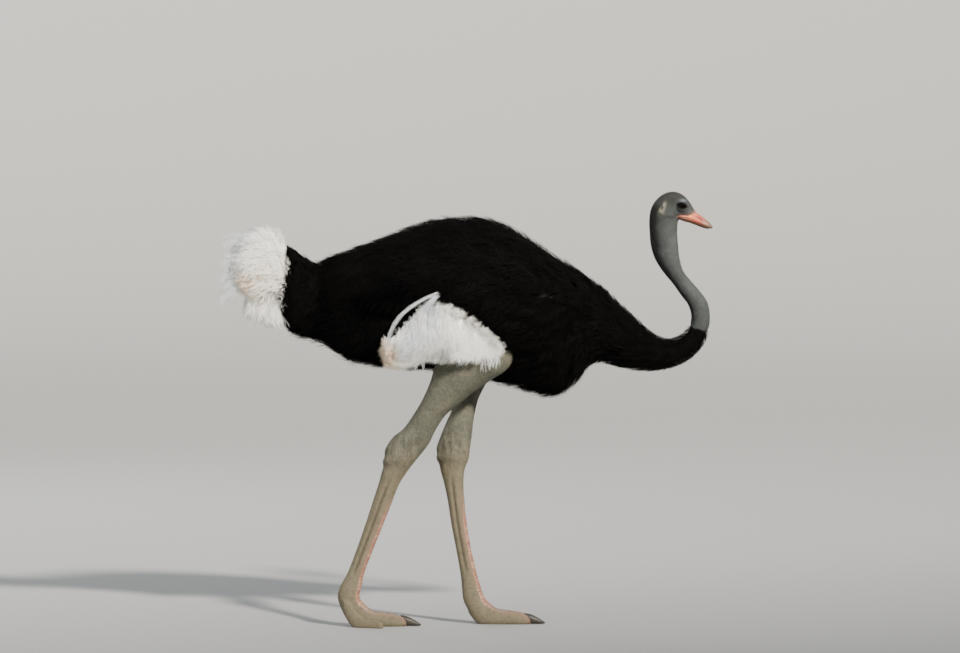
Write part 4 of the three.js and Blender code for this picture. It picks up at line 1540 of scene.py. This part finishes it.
# short soft tufts that hide the starts of the plumes along their upper edge
def makeEdgeTufts(name, side, guide, material):
    surface = treeOf(drawnOut(onSide(plumeForm, side), *plumeGrid, ordered=True))
    paths, facings = [], []
    for _ in range(tuft["count"]):
        x = chance.uniform(-88, 126)
        start = Vector((x, side * (plumeY + 52), whiteAt("top", x) - chance.uniform(2, 24))) * mm
        spot, facing, _, _ = surface.find_nearest(start)
        turn = chance.normal(1.25 + 0.3 * (x > 0), 0.75)
        way = Vector((math.cos(turn), side * 0.3, math.sin(turn)))
        way = (way - facing * way.dot(facing)).normalized()
        long = tuft["long"] * (0.6 + 0.7 * chance.random())
        share = np.linspace(0, 1, 6)[:, None]
        path = np.array(spot) - np.array(facing) * 0.004
        path = path + long * (share * np.array(way) + share * (0.5 - 0.35 * share) * np.array(facing))
        path[:, 2] -= long * 0.45 * share[:, 0] ** 2
        paths.append(path)
        facings.append(np.tile(facing, (6, 1)))
    paths, facings = np.array(paths), np.array(facings)
    uv = mapped(guide, paths[:, 0])
    widths = tuft["wide"] * (0.7 + 0.6 * chance.random(len(paths)))
    dress(name, softTuft, paths, facings, widths, uv, material, "white_plumage")


# thin curled strands that hang below the hem of the wing plumes
def makeStrandFringe(name, side, guide, material):
    paths, facings = [], []
    for start, end, reach, count in strandSpots:
        for _ in range(count):
            x = chance.uniform(start, end)
            hem = whiteAt("hem", x)
            y = np.interp(x, [-172, -60, 60, 130], [214, 236, 240, 226]) + chance.uniform(-10, 14)
            long = (14 + reach) * (0.65 + 0.45 * chance.random())
            share = np.linspace(0, 1, 12)
            wide, beat, phase = chance.uniform(2.0, 7.0), chance.uniform(3.0, 7.5), chance.uniform(0, 6)
            swing = wide * np.sin(share * beat + phase) * share
            lean = chance.normal(-4.0, 7.0) * share ** 2
            path = np.stack([x + swing + lean, y + swing * 0.5 + 0 * share, hem + 14 - long * share], 1)
            path[:, 1] *= side
            paths.append(path * mm)
            facings.append(np.tile((0.25, float(side), 0.1), (12, 1)))
    paths, facings = np.array(paths), np.array(facings)
    uv = mapped(guide, paths[:, 0])
    widths = 0.0016 + 0.0016 * chance.random(len(paths))
    # painted shade: the strands carry a bluish grey tint
    dress(name, strand, paths, facings, widths, uv, material, "white_plumage", tone=np.full(len(paths), -0.3))


def feed(tree, node, inputs):
    for socket, value in inputs.items():
        if isinstance(value, bpy.types.NodeSocket):
            tree.links.new(value, node.inputs[socket])
        else:
            node.inputs[socket].default_value = value
    return node


def grow(tree, kind, inputs=None, **settings):
    node = tree.nodes.new(f"ShaderNode{kind}")
    for key, value in settings.items():
        setattr(node, key, value)
    return feed(tree, node, inputs or {})


def sums(tree, operation, first, second=0.0, clamp=False):
    return grow(tree, "Math", {0: first, 1: second}, operation=operation, use_clamp=clamp).outputs[0]


def times(tree, first, second, clamp=False):
    return sums(tree, "MULTIPLY", first, second, clamp)


def plus(tree, first, second, clamp=False):
    return sums(tree, "ADD", first, second, clamp)


def between(tree, value, low, high, start=0.0, end=1.0):
    inputs = {"Value": value, "From Min": low, "From Max": high, "To Min": start, "To Max": end}
    return grow(tree, "MapRange", inputs, interpolation_type="SMOOTHSTEP").outputs[0]


def mixed(tree, share, first, second):
    first, second = ((*value, 1) if isinstance(value, tuple) else value for value in (first, second))
    return feed(tree, grow(tree, "Mix", data_type="RGBA"), {0: share, 6: first, 7: second}).outputs[2]


def ramp(tree, value, *stops):
    node = grow(tree, "ValToRGB", {0: value})
    band = node.color_ramp.elements
    while len(band) < len(stops):
        band.new(0.5)
    for element, (place, colour) in zip(band, stops):
        element.position = place
        element.color = (*colour, 1)
    return node.outputs[0]


def noise(tree, where, scale, detail=4.0, rough=0.55, twist=0.0):
    inputs = {"Vector": where, "Scale": scale, "Detail": detail, "Roughness": rough, "Distortion": twist}
    return grow(tree, "TexNoise", inputs).outputs[0]


def field(tree, name):
    return grow(tree, "Attribute", attribute_name=name).outputs["Fac"]


def objectPlace(tree):
    return grow(tree, "TexCoord").outputs["Object"]


def startMaterial(name, **constants):
    material = bpy.data.materials.new(name)
    material.use_nodes = True
    tree = material.node_tree
    shader = tree.nodes["Principled BSDF"]
    for socket, value in constants.items():
        shader.inputs[socket.replace("_", " ")].default_value = value
    return material, tree, shader


def finishMaterial(tree, shader, colour, rough, height, depth):
    tree.links.new(colour, shader.inputs["Base Color"])
    tree.links.new(rough, shader.inputs["Roughness"])
    relief = grow(tree, "Bump", {"Height": height, "Distance": depth, "Strength": 1.0})
    tree.links.new(relief.outputs[0], shader.inputs["Normal"])


def startGroup(name, inputs, outputs):
    tree = bpy.data.node_groups.new(name, "ShaderNodeTree")
    for label, kind in inputs.items():
        tree.interface.new_socket(label, in_out="INPUT", socket_type=f"NodeSocket{kind}")
    for label in outputs:
        tree.interface.new_socket(label, in_out="OUTPUT", socket_type="NodeSocketFloat")
    return tree, tree.nodes.new("NodeGroupInput"), tree.nodes.new("NodeGroupOutput")


# raised cells with dark seams between them, as on reptile-like skin
def makePebbles():
    tree, given, result = startGroup("pebbles", {"Place": "Vector", "Scale": "Float"}, ("Height", "Seam", "Tint"))
    wobble = grow(tree, "TexNoise", {"Vector": given.outputs["Place"], "Scale": 60.0, "Detail": 2.0})
    push = grow(tree, "VectorMath", {0: wobble.outputs["Color"], 3: 0.0022}, operation="SCALE")
    place = grow(tree, "VectorMath", {0: given.outputs["Place"], 1: push.outputs[0]}).outputs[0]
    cells = {"Vector": place, "Scale": given.outputs["Scale"], "Randomness": 0.85}
    edge = grow(tree, "TexVoronoi", cells, feature="DISTANCE_TO_EDGE").outputs["Distance"]
    cell = grow(tree, "TexVoronoi", cells)
    tree.links.new(between(tree, edge, 0.0, 0.22), result.inputs["Height"])
    tree.links.new(between(tree, edge, 0.12, 0.0), result.inputs["Seam"])
    tree.links.new(grow(tree, "SeparateColor", {0: cell.outputs["Color"]}).outputs[0], result.inputs["Tint"])
    return tree


# how light each strand of a feather is: darker at its root and varied from feather to feather
def makeStrands():
    tree, given, result = startGroup("strands", {"Place": "Vector"}, ("Tone", "Height"))
    fine = noise(tree, given.outputs["Place"], 260.0, 3.0)
    broad = noise(tree, given.outputs["Place"], 9.0, 3.0)
    tone = times(tree, field(tree, "shade"), 0.34)
    tone = plus(tree, tone, times(tree, between(tree, field(tree, "along"), 0.0, 0.6), 0.26))
    tone = plus(tree, tone, times(tree, fine, 0.22))
    tone = plus(tree, tone, times(tree, broad, 0.30), clamp=True)
    tree.links.new(tone, result.inputs["Tone"])
    tree.links.new(fine, result.inputs["Height"])
    return tree


def useGroup(tree, group, **inputs):
    return grow(tree, "Group", inputs, node_tree=group).outputs


def darkPlumage(strands):
    material, tree, shader = startMaterial("darkPlumage", Specular_IOR_Level=0.06)
    tone = useGroup(tree, strands, Place=objectPlace(tree))
    colour = ramp(
        tree, tone["Tone"],
        (0.15, (0.0009, 0.0008, 0.0009)), (0.55, (0.0018, 0.0016, 0.0016)), (0.95, (0.0048, 0.0040, 0.0035)),
    )
    rough = between(tree, tone["Height"], 0.2, 0.8, 0.82, 0.97)
    finishMaterial(tree, shader, colour, rough, tone["Height"], 0.0004)
    return material


def paleDown(strands):
    material, tree, shader = startMaterial("paleDown", Specular_IOR_Level=0.3)
    tone = useGroup(tree, strands, Place=objectPlace(tree))
    colour = mixed(tree, field(tree, "tone"), (0.018, 0.017, 0.016), (0.21, 0.21, 0.195))
    colour = mixed(tree, between(tree, tone["Tone"], 0.2, 0.9, 0.0, 0.5), colour, (0.11, 0.105, 0.095))
    rough = between(tree, tone["Height"], 0.2, 0.8, 0.55, 0.8)
    finishMaterial(tree, shader, colour, rough, tone["Height"], 0.0002)
    return material


def whitePlumage(strands):
    material, tree, shader = startMaterial("whitePlumage", Specular_IOR_Level=0.25)
    tone = useGroup(tree, strands, Place=objectPlace(tree))
    colour = ramp(
        tree, tone["Tone"],
        (0.10, (0.78, 0.755, 0.69)), (0.45, (0.90, 0.88, 0.82)), (0.85, (0.96, 0.945, 0.90)),
    )
    # tone above 0 tints the plumes tan; tone below 0 is painted shade, mixed in as a bluish grey
    warm = times(tree, field(tree, "tone"), 0.75, clamp=True)
    paintedShade = times(tree, field(tree, "tone"), -0.75, clamp=True)
    colour = mixed(tree, warm, colour, (0.80, 0.54, 0.28))
    colour = mixed(tree, paintedShade, colour, (0.46, 0.54, 0.62))
    rough = between(tree, tone["Height"], 0.2, 0.8, 0.62, 0.85)
    finishMaterial(tree, shader, colour, rough, tone["Height"], 0.0004)
    return material


# markings painted over the skin, each on its own mask, in this order; the nape's dark down carries painted shade,
# brow is a painted highlight, and dark is mostly painted shade in hollows, creases and grooves, with the lids' dark
# rims
skinMarkings = {
    "napeDownAndShade": (0.0045, 0.0040, 0.0045),
    "crown": (0.024, 0.023, 0.020),
    "earPatch": (0.270, 0.245, 0.185),
    # brow's colour is a painted highlight
    "brow": (0.130, 0.150, 0.158),
    "dark": (0.008, 0.007, 0.007),
    "covered": (0.003, 0.0028, 0.0028),
}


def greySkin(pebbles):
    material, tree, shader = startMaterial("greySkin", Specular_IOR_Level=0.20)
    place = objectPlace(tree)
    leg = field(tree, "leg")
    scaly = field(tree, "scaly")
    blotch = noise(tree, place, 16.0, 5.0, 0.6)
    mottle = noise(tree, place, 85.0, 4.0, 0.6, 0.4)
    neckTone = ramp(
        tree, blotch,
        (0.28, (0.029, 0.034, 0.035)), (0.50, (0.045, 0.052, 0.053)), (0.75, (0.069, 0.077, 0.077)),
    )
    legTone = ramp(
        tree, blotch,
        (0.28, (0.062, 0.066, 0.050)), (0.52, (0.094, 0.096, 0.071)), (0.75, (0.140, 0.134, 0.096)),
    )
    colour = mixed(tree, leg, neckTone, legTone)
    colour = mixed(tree, times(tree, scaly, 0.65), colour, (0.260, 0.208, 0.118))
    # fine speckle, warm where blood shows through and green-grey elsewhere
    colour = mixed(tree, between(tree, mottle, 0.46, 0.66, 0.0, 0.34), colour, (0.064, 0.072, 0.060))
    flush = times(tree, between(tree, mottle, 0.52, 0.36), between(tree, leg, 0.0, 1.0, 0.10, 0.26))
    colour = mixed(tree, flush, colour, (0.165, 0.130, 0.112))
    large = useGroup(tree, pebbles, Place=place, Scale=210.0)
    small = useGroup(tree, pebbles, Place=place, Scale=880.0)
    seam = mixed(tree, leg, small["Seam"], large["Seam"])
    worn = between(tree, noise(tree, place, 24.0, 3.0), 0.35, 0.65, 0.30, 1.0)
    seam = times(tree, times(tree, seam, worn), between(tree, scaly, 0.0, 1.0, 0.05, 0.50))
    colour = mixed(tree, seam, colour, (0.030, 0.030, 0.025))
    tint = mixed(tree, leg, small["Tint"], large["Tint"])
    colour = mixed(tree, between(tree, tint, 0.55, 1.0, 0.0, 0.20), colour, (0.24, 0.225, 0.175))
    colour = mixed(tree, times(tree, field(tree, "pink"), 0.50), colour, (0.34, 0.165, 0.110))
    for marking, tone in skinMarkings.items():
        colour = mixed(tree, field(tree, marking), colour, tone)
    streaks = grow(tree, "Mapping", {"Vector": place, "Scale": (1.0, 1.0, 0.14)}).outputs[0]
    loose = noise(tree, streaks, 68.0, 2.0, 0.5, 0.5)
    # painted shade in the hock's creases: dark streaks, which the bump also sinks
    crease = grow(tree, "Math", {0: loose, 1: 0.5, 2: 0.035}, operation="COMPARE").outputs[0]
    crease = times(tree, crease, field(tree, "hock"))
    colour = mixed(tree, times(tree, crease, 0.36), colour, (0.030, 0.030, 0.024))
    wrinkle = noise(tree, streaks, 150.0, 3.0, 0.6, 0.8)
    height = times(tree, large["Height"], between(tree, scaly, 0.0, 1.0, 0.0, 1.0))
    soft = times(tree, small["Height"], between(tree, leg, 0.0, 1.0, 0.22, 0.08))
    height = plus(tree, plus(tree, height, soft), times(tree, wrinkle, 0.7))
    rough = between(tree, mottle, 0.3, 0.7, 0.64, 0.84)
    height = sums(tree, "SUBTRACT", height, times(tree, crease, 0.9))
    finishMaterial(tree, shader, colour, rough, height, 0.0009)
    return material


def billHorn():
    material, tree, shader = startMaterial("billHorn", Specular_IOR_Level=0.45)
    place = objectPlace(tree)
    along, lower, groove = (field(tree, name) for name in ("along", "lower", "groove"))
    blotch = noise(tree, place, 55.0, 5.0, 0.6, 0.5)
    drawn = {"Vector": place, "Scale": (0.25, 1.0, 1.0), "Rotation": (0, 0.37, 0)}
    grain = noise(tree, grow(tree, "Mapping", drawn).outputs[0], 420.0, 4.0, 0.6)
    colour = ramp(
        tree, plus(tree, along, times(tree, blotch, 0.16)),
        (0.10, (0.50, 0.165, 0.105)), (0.34, (0.62, 0.120, 0.052)), (0.62, (0.46, 0.088, 0.048)),
        (0.84, (0.25, 0.110, 0.062)), (1.00, (0.140, 0.104, 0.066)),
    )
    colour = mixed(tree, times(tree, field(tree, "orange"), 0.9), colour, (0.82, 0.30, 0.03))
    # painted shade in the groove and the nostril slit, with the dark red streak near the root
    colour = mixed(tree, times(tree, groove, 0.88), colour, (0.200, 0.036, 0.034))
    colour = mixed(tree, between(tree, grain, 0.5, 0.75, 0.0, 0.16), colour, (0.60, 0.30, 0.20))
    # painted shade: the lower bill is darkened to a deep brown, as if shaded by the upper bill
    colour = mixed(tree, times(tree, lower, 0.85), colour, (0.070, 0.032, 0.018))
    finishMaterial(tree, shader, colour, between(tree, blotch, 0.3, 0.7, 0.42, 0.58), grain, 0.00016)
    return material


def eyeGloss():
    material, tree, shader = startMaterial(
        "eyeGloss", Coat_Weight=0.10, Coat_Roughness=0.02, Specular_IOR_Level=0.10,
    )
    place = objectPlace(tree)
    out = field(tree, "fromPupil")
    fibres = noise(tree, place, 700.0, 3.0)
    # the iris and the ring round it are painted near black: a dark brown eye with the brow's shade painted into it
    iris = mixed(tree, fibres, (0.003, 0.0015, 0.001), (0.012, 0.0055, 0.003))
    colour = mixed(tree, between(tree, out, 0.34, 0.40), (0.0015, 0.0012, 0.0012), iris)
    colour = mixed(tree, between(tree, out, 0.60, 0.72), colour, (0.005, 0.0035, 0.003))
    finishMaterial(tree, shader, colour, between(tree, fibres, 0.0, 1.0, 0.06, 0.12), fibres, 0.00005)
    return material


def clawHorn(pebbles):
    material, tree, shader = startMaterial("clawHorn", Specular_IOR_Level=0.45)
    place = objectPlace(tree)
    drawn = grow(tree, "Mapping", {"Vector": place, "Scale": (0.35, 1.0, 1.0)}).outputs[0]
    rings = noise(tree, drawn, 190.0, 5.0, 0.62, 0.6)
    scuffs = noise(tree, place, 120.0, 5.0, 0.65)
    cracks = useGroup(tree, pebbles, Place=place, Scale=240.0)
    colour = ramp(
        tree, scuffs, (0.30, (0.014, 0.011, 0.009)), (0.55, (0.036, 0.029, 0.022)), (0.80, (0.110, 0.090, 0.065)),
    )
    colour = mixed(tree, times(tree, rings, 0.35), colour, (0.070, 0.056, 0.040))
    colour = mixed(tree, times(tree, cracks["Seam"], 0.25), colour, (0.012, 0.010, 0.009))
    finishMaterial(tree, shader, colour, between(tree, scuffs, 0.3, 0.7, 0.34, 0.62), rings, 0.0004)
    return material


def legPlates(pebbles):
    material, tree, shader = startMaterial("legPlates", Specular_IOR_Level=0.45)
    place = objectPlace(tree)
    blotch = noise(tree, place, 40.0, 5.0, 0.6)
    grain = noise(tree, place, 380.0, 4.0, 0.6)
    colour = ramp(
        tree, plus(tree, times(tree, blotch, 0.7), times(tree, field(tree, "shade"), 0.3)),
        (0.30, (0.23, 0.088, 0.056)), (0.50, (0.34, 0.152, 0.094)), (0.74, (0.44, 0.255, 0.160)),
    )
    colour = mixed(tree, between(tree, field(tree, "begun"), 0.0, 0.8, 0.85, 0.0), colour, (0.150, 0.130, 0.085))
    toe = ramp(tree, blotch, (0.30, (0.130, 0.096, 0.070)), (0.70, (0.240, 0.178, 0.128)))
    colour = mixed(tree, field(tree, "onToe"), colour, toe)
    colour = mixed(tree, times(tree, field(tree, "rim"), 0.50), colour, (0.42, 0.31, 0.22))
    pits = useGroup(tree, pebbles, Place=place, Scale=420.0)
    colour = mixed(tree, times(tree, pits["Seam"], 0.22), colour, (0.12, 0.06, 0.04))
    finishMaterial(tree, shader, colour, between(tree, grain, 0.3, 0.7, 0.40, 0.58), grain, 0.0003)
    return material


# how far spots are from the nearest of some places, and a long way where they aren't asked for
def awayFrom(places, spots, asked):
    tree = nearTree(places)
    return np.array([tree.find(spot)[2] if wanted else 999.0 for spot, wanted in zip(spots, asked)])


# markings, painted shade and a painted highlight, as masks on the skin's points
def markSkin(piece, surface, guide):
    spots = positionsOf(piece.data)
    x, y, z = (spots / mm).T
    near = [guide["tree"].find(spot)[1] for spot in spots]
    t, angle = guide["t"][near], guide["angle"][near]
    covered = np.zeros(len(spots))
    for i, spot in enumerate(spots):
        place, facing, _, gone = surface.find_nearest(Vector(spot), 0.3)
        if place is not None and (Vector(spot) - place).dot(facing) < 0:
            covered[i] = gone
    paint(piece, "covered", smoothstep(0.0015, 0.005, covered))
    leg = (1 - smoothstep(300, 340, x)) * (1 - smoothstep(1000, 1040, z))
    paint(piece, "leg", leg)
    paint(piece, "scaly", leg * (0.12 + 0.88 * (1 - smoothstep(470, 640, z))))
    paint(piece, "hock", leg * bump(590, 62, z))
    pink = np.zeros(len(spots))
    for part in legs.values():
        t60 = np.linspace(part["hock"], len(part["form"]) - 2, 60)
        front = surfacePoint(part["form"], t60, np.full(60, math.pi))
        gone = awayFrom(front, spots / mm, z < 460)
        pink = np.maximum(pink, (1 - smoothstep(12, 34, gone)) * (1 - smoothstep(400, 440, z)))
    rootT, rootAngle = np.meshgrid(np.linspace(0, 3, 24), np.linspace(-math.pi, math.pi, 60))
    root = surfacePoint(billUpperForm, rootT.ravel(), rootAngle.ravel())
    gone = awayFrom(root, spots / mm, z > 1330)
    pink = np.maximum(pink, 0.9 * (1 - smoothstep(1.5, 9.0, gone + 1.5 * np.sin(x / 2.1) * np.sin(z / 2.7))))
    paint(piece, "pink", pink)
    # the nape: its dark down, with painted shade down the back of the neck
    onNeck = smoothstep(19.8, 20.6, t) * (1 - smoothstep(29.8, 32.0, t)) * (1 - leg)
    patchy = 0.1 * np.sin(z / 9) * np.sin(z / 23 + 1)
    turned = np.abs(angle) + patchy + 0.35 * (1 - smoothstep(1080, 1200, z))
    past = smoothstep(0.85, 1.42, turned)
    nape = 0.95 * (1 - past) + 0.28 * past * (1 - smoothstep(1.4, 2.3, turned))
    paint(piece, "napeDownAndShade", onNeck * nape)
    onHead = smoothstep(1320, 1335, z) * (1 - leg)
    temple = 0.45 * bump(672, 24, x) * bump(1398, 16, z)
    paint(piece, "crown", np.clip(0.75 * smoothstep(1386, 1420, z) + temple, 0, 0.85) * onHead)
    ex, ez = head["ear"][0], head["ear"][2]
    lean = head["earLean"]
    across = (x - ex) * math.cos(lean) + (z - ez) * math.sin(lean)
    down = -(x - ex) * math.sin(lean) + (z - ez) * math.cos(lean)
    broad = 5.6 + 4.6 * smoothstep(10, -14, down)
    patch = np.exp(-((across / broad) ** 2) ** 1.5) * np.exp(-((down + 2) / 21) ** 4)
    paint(piece, "earPatch", 0.72 * patch * onHead)
    # painted highlight: a pale bluish strip along the brow ridge over the eye
    paint(piece, "brow", 0.9 * bump(717, 13, x) * bump(1405, 4.8, z) * onHead)
    tilt = head["lidTilt"]
    dx, dz = x - head["eye"][0], z - head["eye"][2]
    u, v = dx * math.cos(tilt) + dz * math.sin(tilt), -dx * math.sin(tilt) + dz * math.cos(tilt)
    reach = np.maximum(np.hypot(u, v), 1e-6)
    past = reach - lidEdge(u / reach, v / reach)
    # the lids' dark rims, widened on the upper lid by painted shade under the lashes
    rim = 1 - smoothstep(0.6, np.where(v > 0, 6.0, 3.2), past)
    # painted shade in the eye's front corner, where the lids dip into a hollow
    tear = bump(-2.5, 2.0, v) * bump(20, 5, u) * 0.8
    # painted shade in the ear's hole, and dark lines behind and below the ear patch
    hole = bump(-3.0, 2.2, across) * bump(-5, 6.0, down)
    behind = bump(-broad - 3.0, 3.2, across) * np.exp(-((down + 6) / 19) ** 4)
    below = bump(-24, 3.0, down) * bump(-1, 9, across)
    hole = np.maximum.reduce([hole, 0.8 * behind, 0.7 * below])
    # painted shade in the crease of the gape
    gape = 0.7 * bump(0, 1.6, z - 1356 + (x - 700) * 0.1) * smoothstep(684, 690, x) * (1 - smoothstep(706, 712, x))
    dark = np.maximum.reduce([rim, tear, hole, gape]) * onHead * smoothstep(8, 16, np.abs(y))
    # painted shade down the groove between each shank's bone and its tendon
    for part in legs.values():
        shankX = shankMiddle(part["form"], z)
        mine = (np.sign(y) == part["side"]) & (x < 110)
        shank = smoothstep(150, 200, z) * (1 - smoothstep(440, 500, z))
        dark = np.maximum(dark, 0.55 * bump(-4, 4.5, x - shankX) * shank * mine)
    paint(piece, "dark", np.clip(dark, 0, 1))


# single bristles: a shaft with no barbs
bristle = {
    "pairs": 0, "lockSegments": 1, "shaftSegments": 2, "variants": 1, "slim": 0.1,
    "bare": 0, "round": 1, "ragged": 0, "sweep": 0, "lift": 0, "fluff": 0,
    "curl": 0, "wave": 0, "lockWide": 0, "shaftWide": 1.0, "sag": 0.0,
}
down = {
    "neckSpacing": 0.0038,
    "headSpacing": 0.0021,
    "neckLong": 0.0080,
    "crownLong": 0.0070,
    "faceLong": 0.0026,
}


# sparse down on the neck and short bristles over the head
def makeDown(piece, guide, material):
    bm = workMesh(piece)
    middles = [(face, face.calc_center_median()) for face in bm.faces]
    bare = [face for face, middle in middles if middle.z < 0.99 or middle.x < 0.56]
    bmesh.ops.delete(bm, geom=bare, context="FACES")
    surface = BVHTree.FromBMesh(bm)

    def keepDown(spots):
        eyeGap = np.hypot(spots[:, 0] - head["eye"][0] * mm, spots[:, 2] - head["eye"][2] * mm)
        mouth = (spots[:, 0] > 0.722) & (spots[:, 2] < 1.385) & (spots[:, 2] > 1.30)
        return (spots[:, 2] > 0.995) & (eyeGap > 0.020) & ~mouth

    def downSpacing(spots):
        high = smoothstep(1.31, 1.36, spots[:, 2])
        return down["neckSpacing"] + (down["headSpacing"] - down["neckSpacing"]) * high

    roots = scatter(bm, tries["down"], keepDown, downSpacing)
    high = smoothstep(1.31, 1.37, roots[:, 2])
    crown = smoothstep(1.395, 1.425, roots[:, 2])
    onHead = down["faceLong"] + (down["crownLong"] - down["faceLong"]) * crown
    lengths = down["neckLong"] * (1 - high) + high * onHead
    lengths *= 0.7 + 0.6 * chance.random(len(roots))
    ear = np.hypot(roots[:, 0] - head["ear"][0] * mm, (roots[:, 2] - head["ear"][2] * mm) * 0.6) < 0.010
    lengths += 0.0030 * ear
    paths = np.empty((len(roots), 3, 3))
    facings = np.empty_like(paths)
    uv = np.empty((len(roots), 2))
    for i, root in enumerate(roots):
        spot, facing, _, _ = surface.find_nearest(Vector(root))
        _, near, _ = guide["tree"].find(spot)
        uv[i] = guide["uv"][near]
        back = -Vector(guide["along"][near])
        back = back - facing * back.dot(facing)
        back = (back + facing.cross(back) * chance.normal(0, 0.35)).normalized()
        stand = 0.35 + 0.35 * chance.random()
        tip = spot + (back + facing * stand).normalized() * lengths[i]
        knee = spot + (back + facing * stand * 1.8).normalized() * lengths[i] * 0.5
        paths[i] = [spot - facing * 0.0006, knee, tip]
        facings[i] = facing
    tone = np.maximum(chance.random(len(roots)) ** 2, 0.9 * ear)
    dress("down", bristle, paths, facings, np.full(len(roots), 0.00016), uv, material, "grey_skin", tone=tone)


# a fringe of stiff lashes along each upper lid, and short ones below
def makeLashes(name, side, guide, material):
    tilt = head["lidTilt"]
    eye = head["eye"]
    paths, facings = [], []
    for upper, count, long in ((True, 40, 8.5), (False, 24, 3.8)):
        for i in range(count):
            turn = (math.pi * (0.10 + 0.80 * (i + 0.5 * chance.random()) / count)) * (1 if upper else -1)
            cos, sin = math.cos(turn), math.sin(turn)
            edge = float(lidEdge(cos, sin)) + 0.6
            out = math.sqrt(max(head["lidRadius"] ** 2 - edge ** 2, 0))
            u, v = edge * cos, edge * sin
            root = np.array([eye[0] + u * math.cos(tilt) - v * math.sin(tilt), side * (eye[1] + out),
                             eye[2] + u * math.sin(tilt) + v * math.cos(tilt)])
            fan = np.array([0.75 * cos, side * 1.0, 0.10 * sin]) + 0.16 * chance.normal(size=3)
            lift = np.array([0.55 * cos, side * 0.45, 0.9 * sin]) + 0.12 * chance.normal(size=3)
            reach = long * (0.6 + 0.5 * chance.random())
            steps = np.linspace(0, 1, 5)[:, None]
            paths.append(root + reach * (steps * unit(fan) * 0.75 + steps ** 2 * unit(lift) * 0.6))
            facings.append(np.tile(unit(lift - fan * 0.4), (5, 1)))
    paths, facings = np.array(paths) * mm, np.array(facings)
    uv = mapped(guide, paths[:, 0])
    lash = {**bristle, "shaftSegments": 4}
    dress(name, lash, paths, facings, np.full(len(paths), 0.00030), uv, material, "dark_plumage")


placeCamera()
lightStudio()
layFloor()
print("stage ready")

pebbles = makePebbles()
strands = makeStrands()
finish = {
    "skin": greySkin(pebbles),
    "bill": billHorn(),
    "eye": eyeGloss(),
    "claw": clawHorn(pebbles),
    "plates": legPlates(pebbles),
    "dark": darkPlumage(strands),
    "down": paleDown(strands),
    "white": whitePlumage(strands),
}
skinPiece = makeSkin()
settle(
    skinPiece, finish["skin"], "grey_skin",
    "trunk", "neck_base", "neck_lower", "neck_upper", "head", "drumstick_right", "drumstick_left",
    "shank_right", "shank_left", "toe_big_right", "toe_big_left", "toe_small_right", "toe_small_left",
    "wing_right", "wing_left",
)
print("skin made", len(skinPiece.data.polygons))

settle(makeBill("billUpper", billUpperForm, shapeUpperBill, False), finish["bill"], "bill_horn", "bill_upper")
settle(makeBill("billLower", billLowerForm, shapeLowerBill, True), finish["bill"], "bill_horn", "bill_lower")
for name, leg in legs.items():
    settle(makeEye(f"eyeball_{name}", leg["side"]), finish["eye"], "eye_gloss", f"eye_{name}")
    settle(makeClaw(f"clawNail_{name}", leg), finish["claw"], "claw_horn", f"claw_{name}")
    settle(makeScutes(f"legScutes_{name}", leg), finish["plates"], "grey_skin")
print("bill, eyes, claws and scutes made")

outerMesh, outerSurface, bodyGuide = makeBodyCoat(finish["dark"])
print("body feathers made")
makeNeckCoat(finish["dark"], outerMesh, outerSurface, bodyGuide)
makeTailPlumes(finish["white"])
for name, leg in legs.items():
    makeWingPlumes(f"wingPlumes_{name}", leg["side"], finish["white"])
    makeQuills(f"quills_{name}", leg["side"], bodyGuide, finish["white"])
    makeStrandFringe(f"wingFringe_{name}", leg["side"], bodyGuide, finish["white"])
    makeEdgeTufts(f"wingEdge_{name}", leg["side"], bodyGuide, finish["white"])
print("plumes made")

spineGuide = layGuide(spine, 0, len(spine) - 1, charts["body"])
markSkin(skinPiece, outerSurface, spineGuide)
print("skin marked")
makeDown(skinPiece, spineGuide, finish["down"])
for name, leg in legs.items():
    makeLashes(f"lashes_{name}", leg["side"], spineGuide, finish["dark"])
print("down and lashes made")
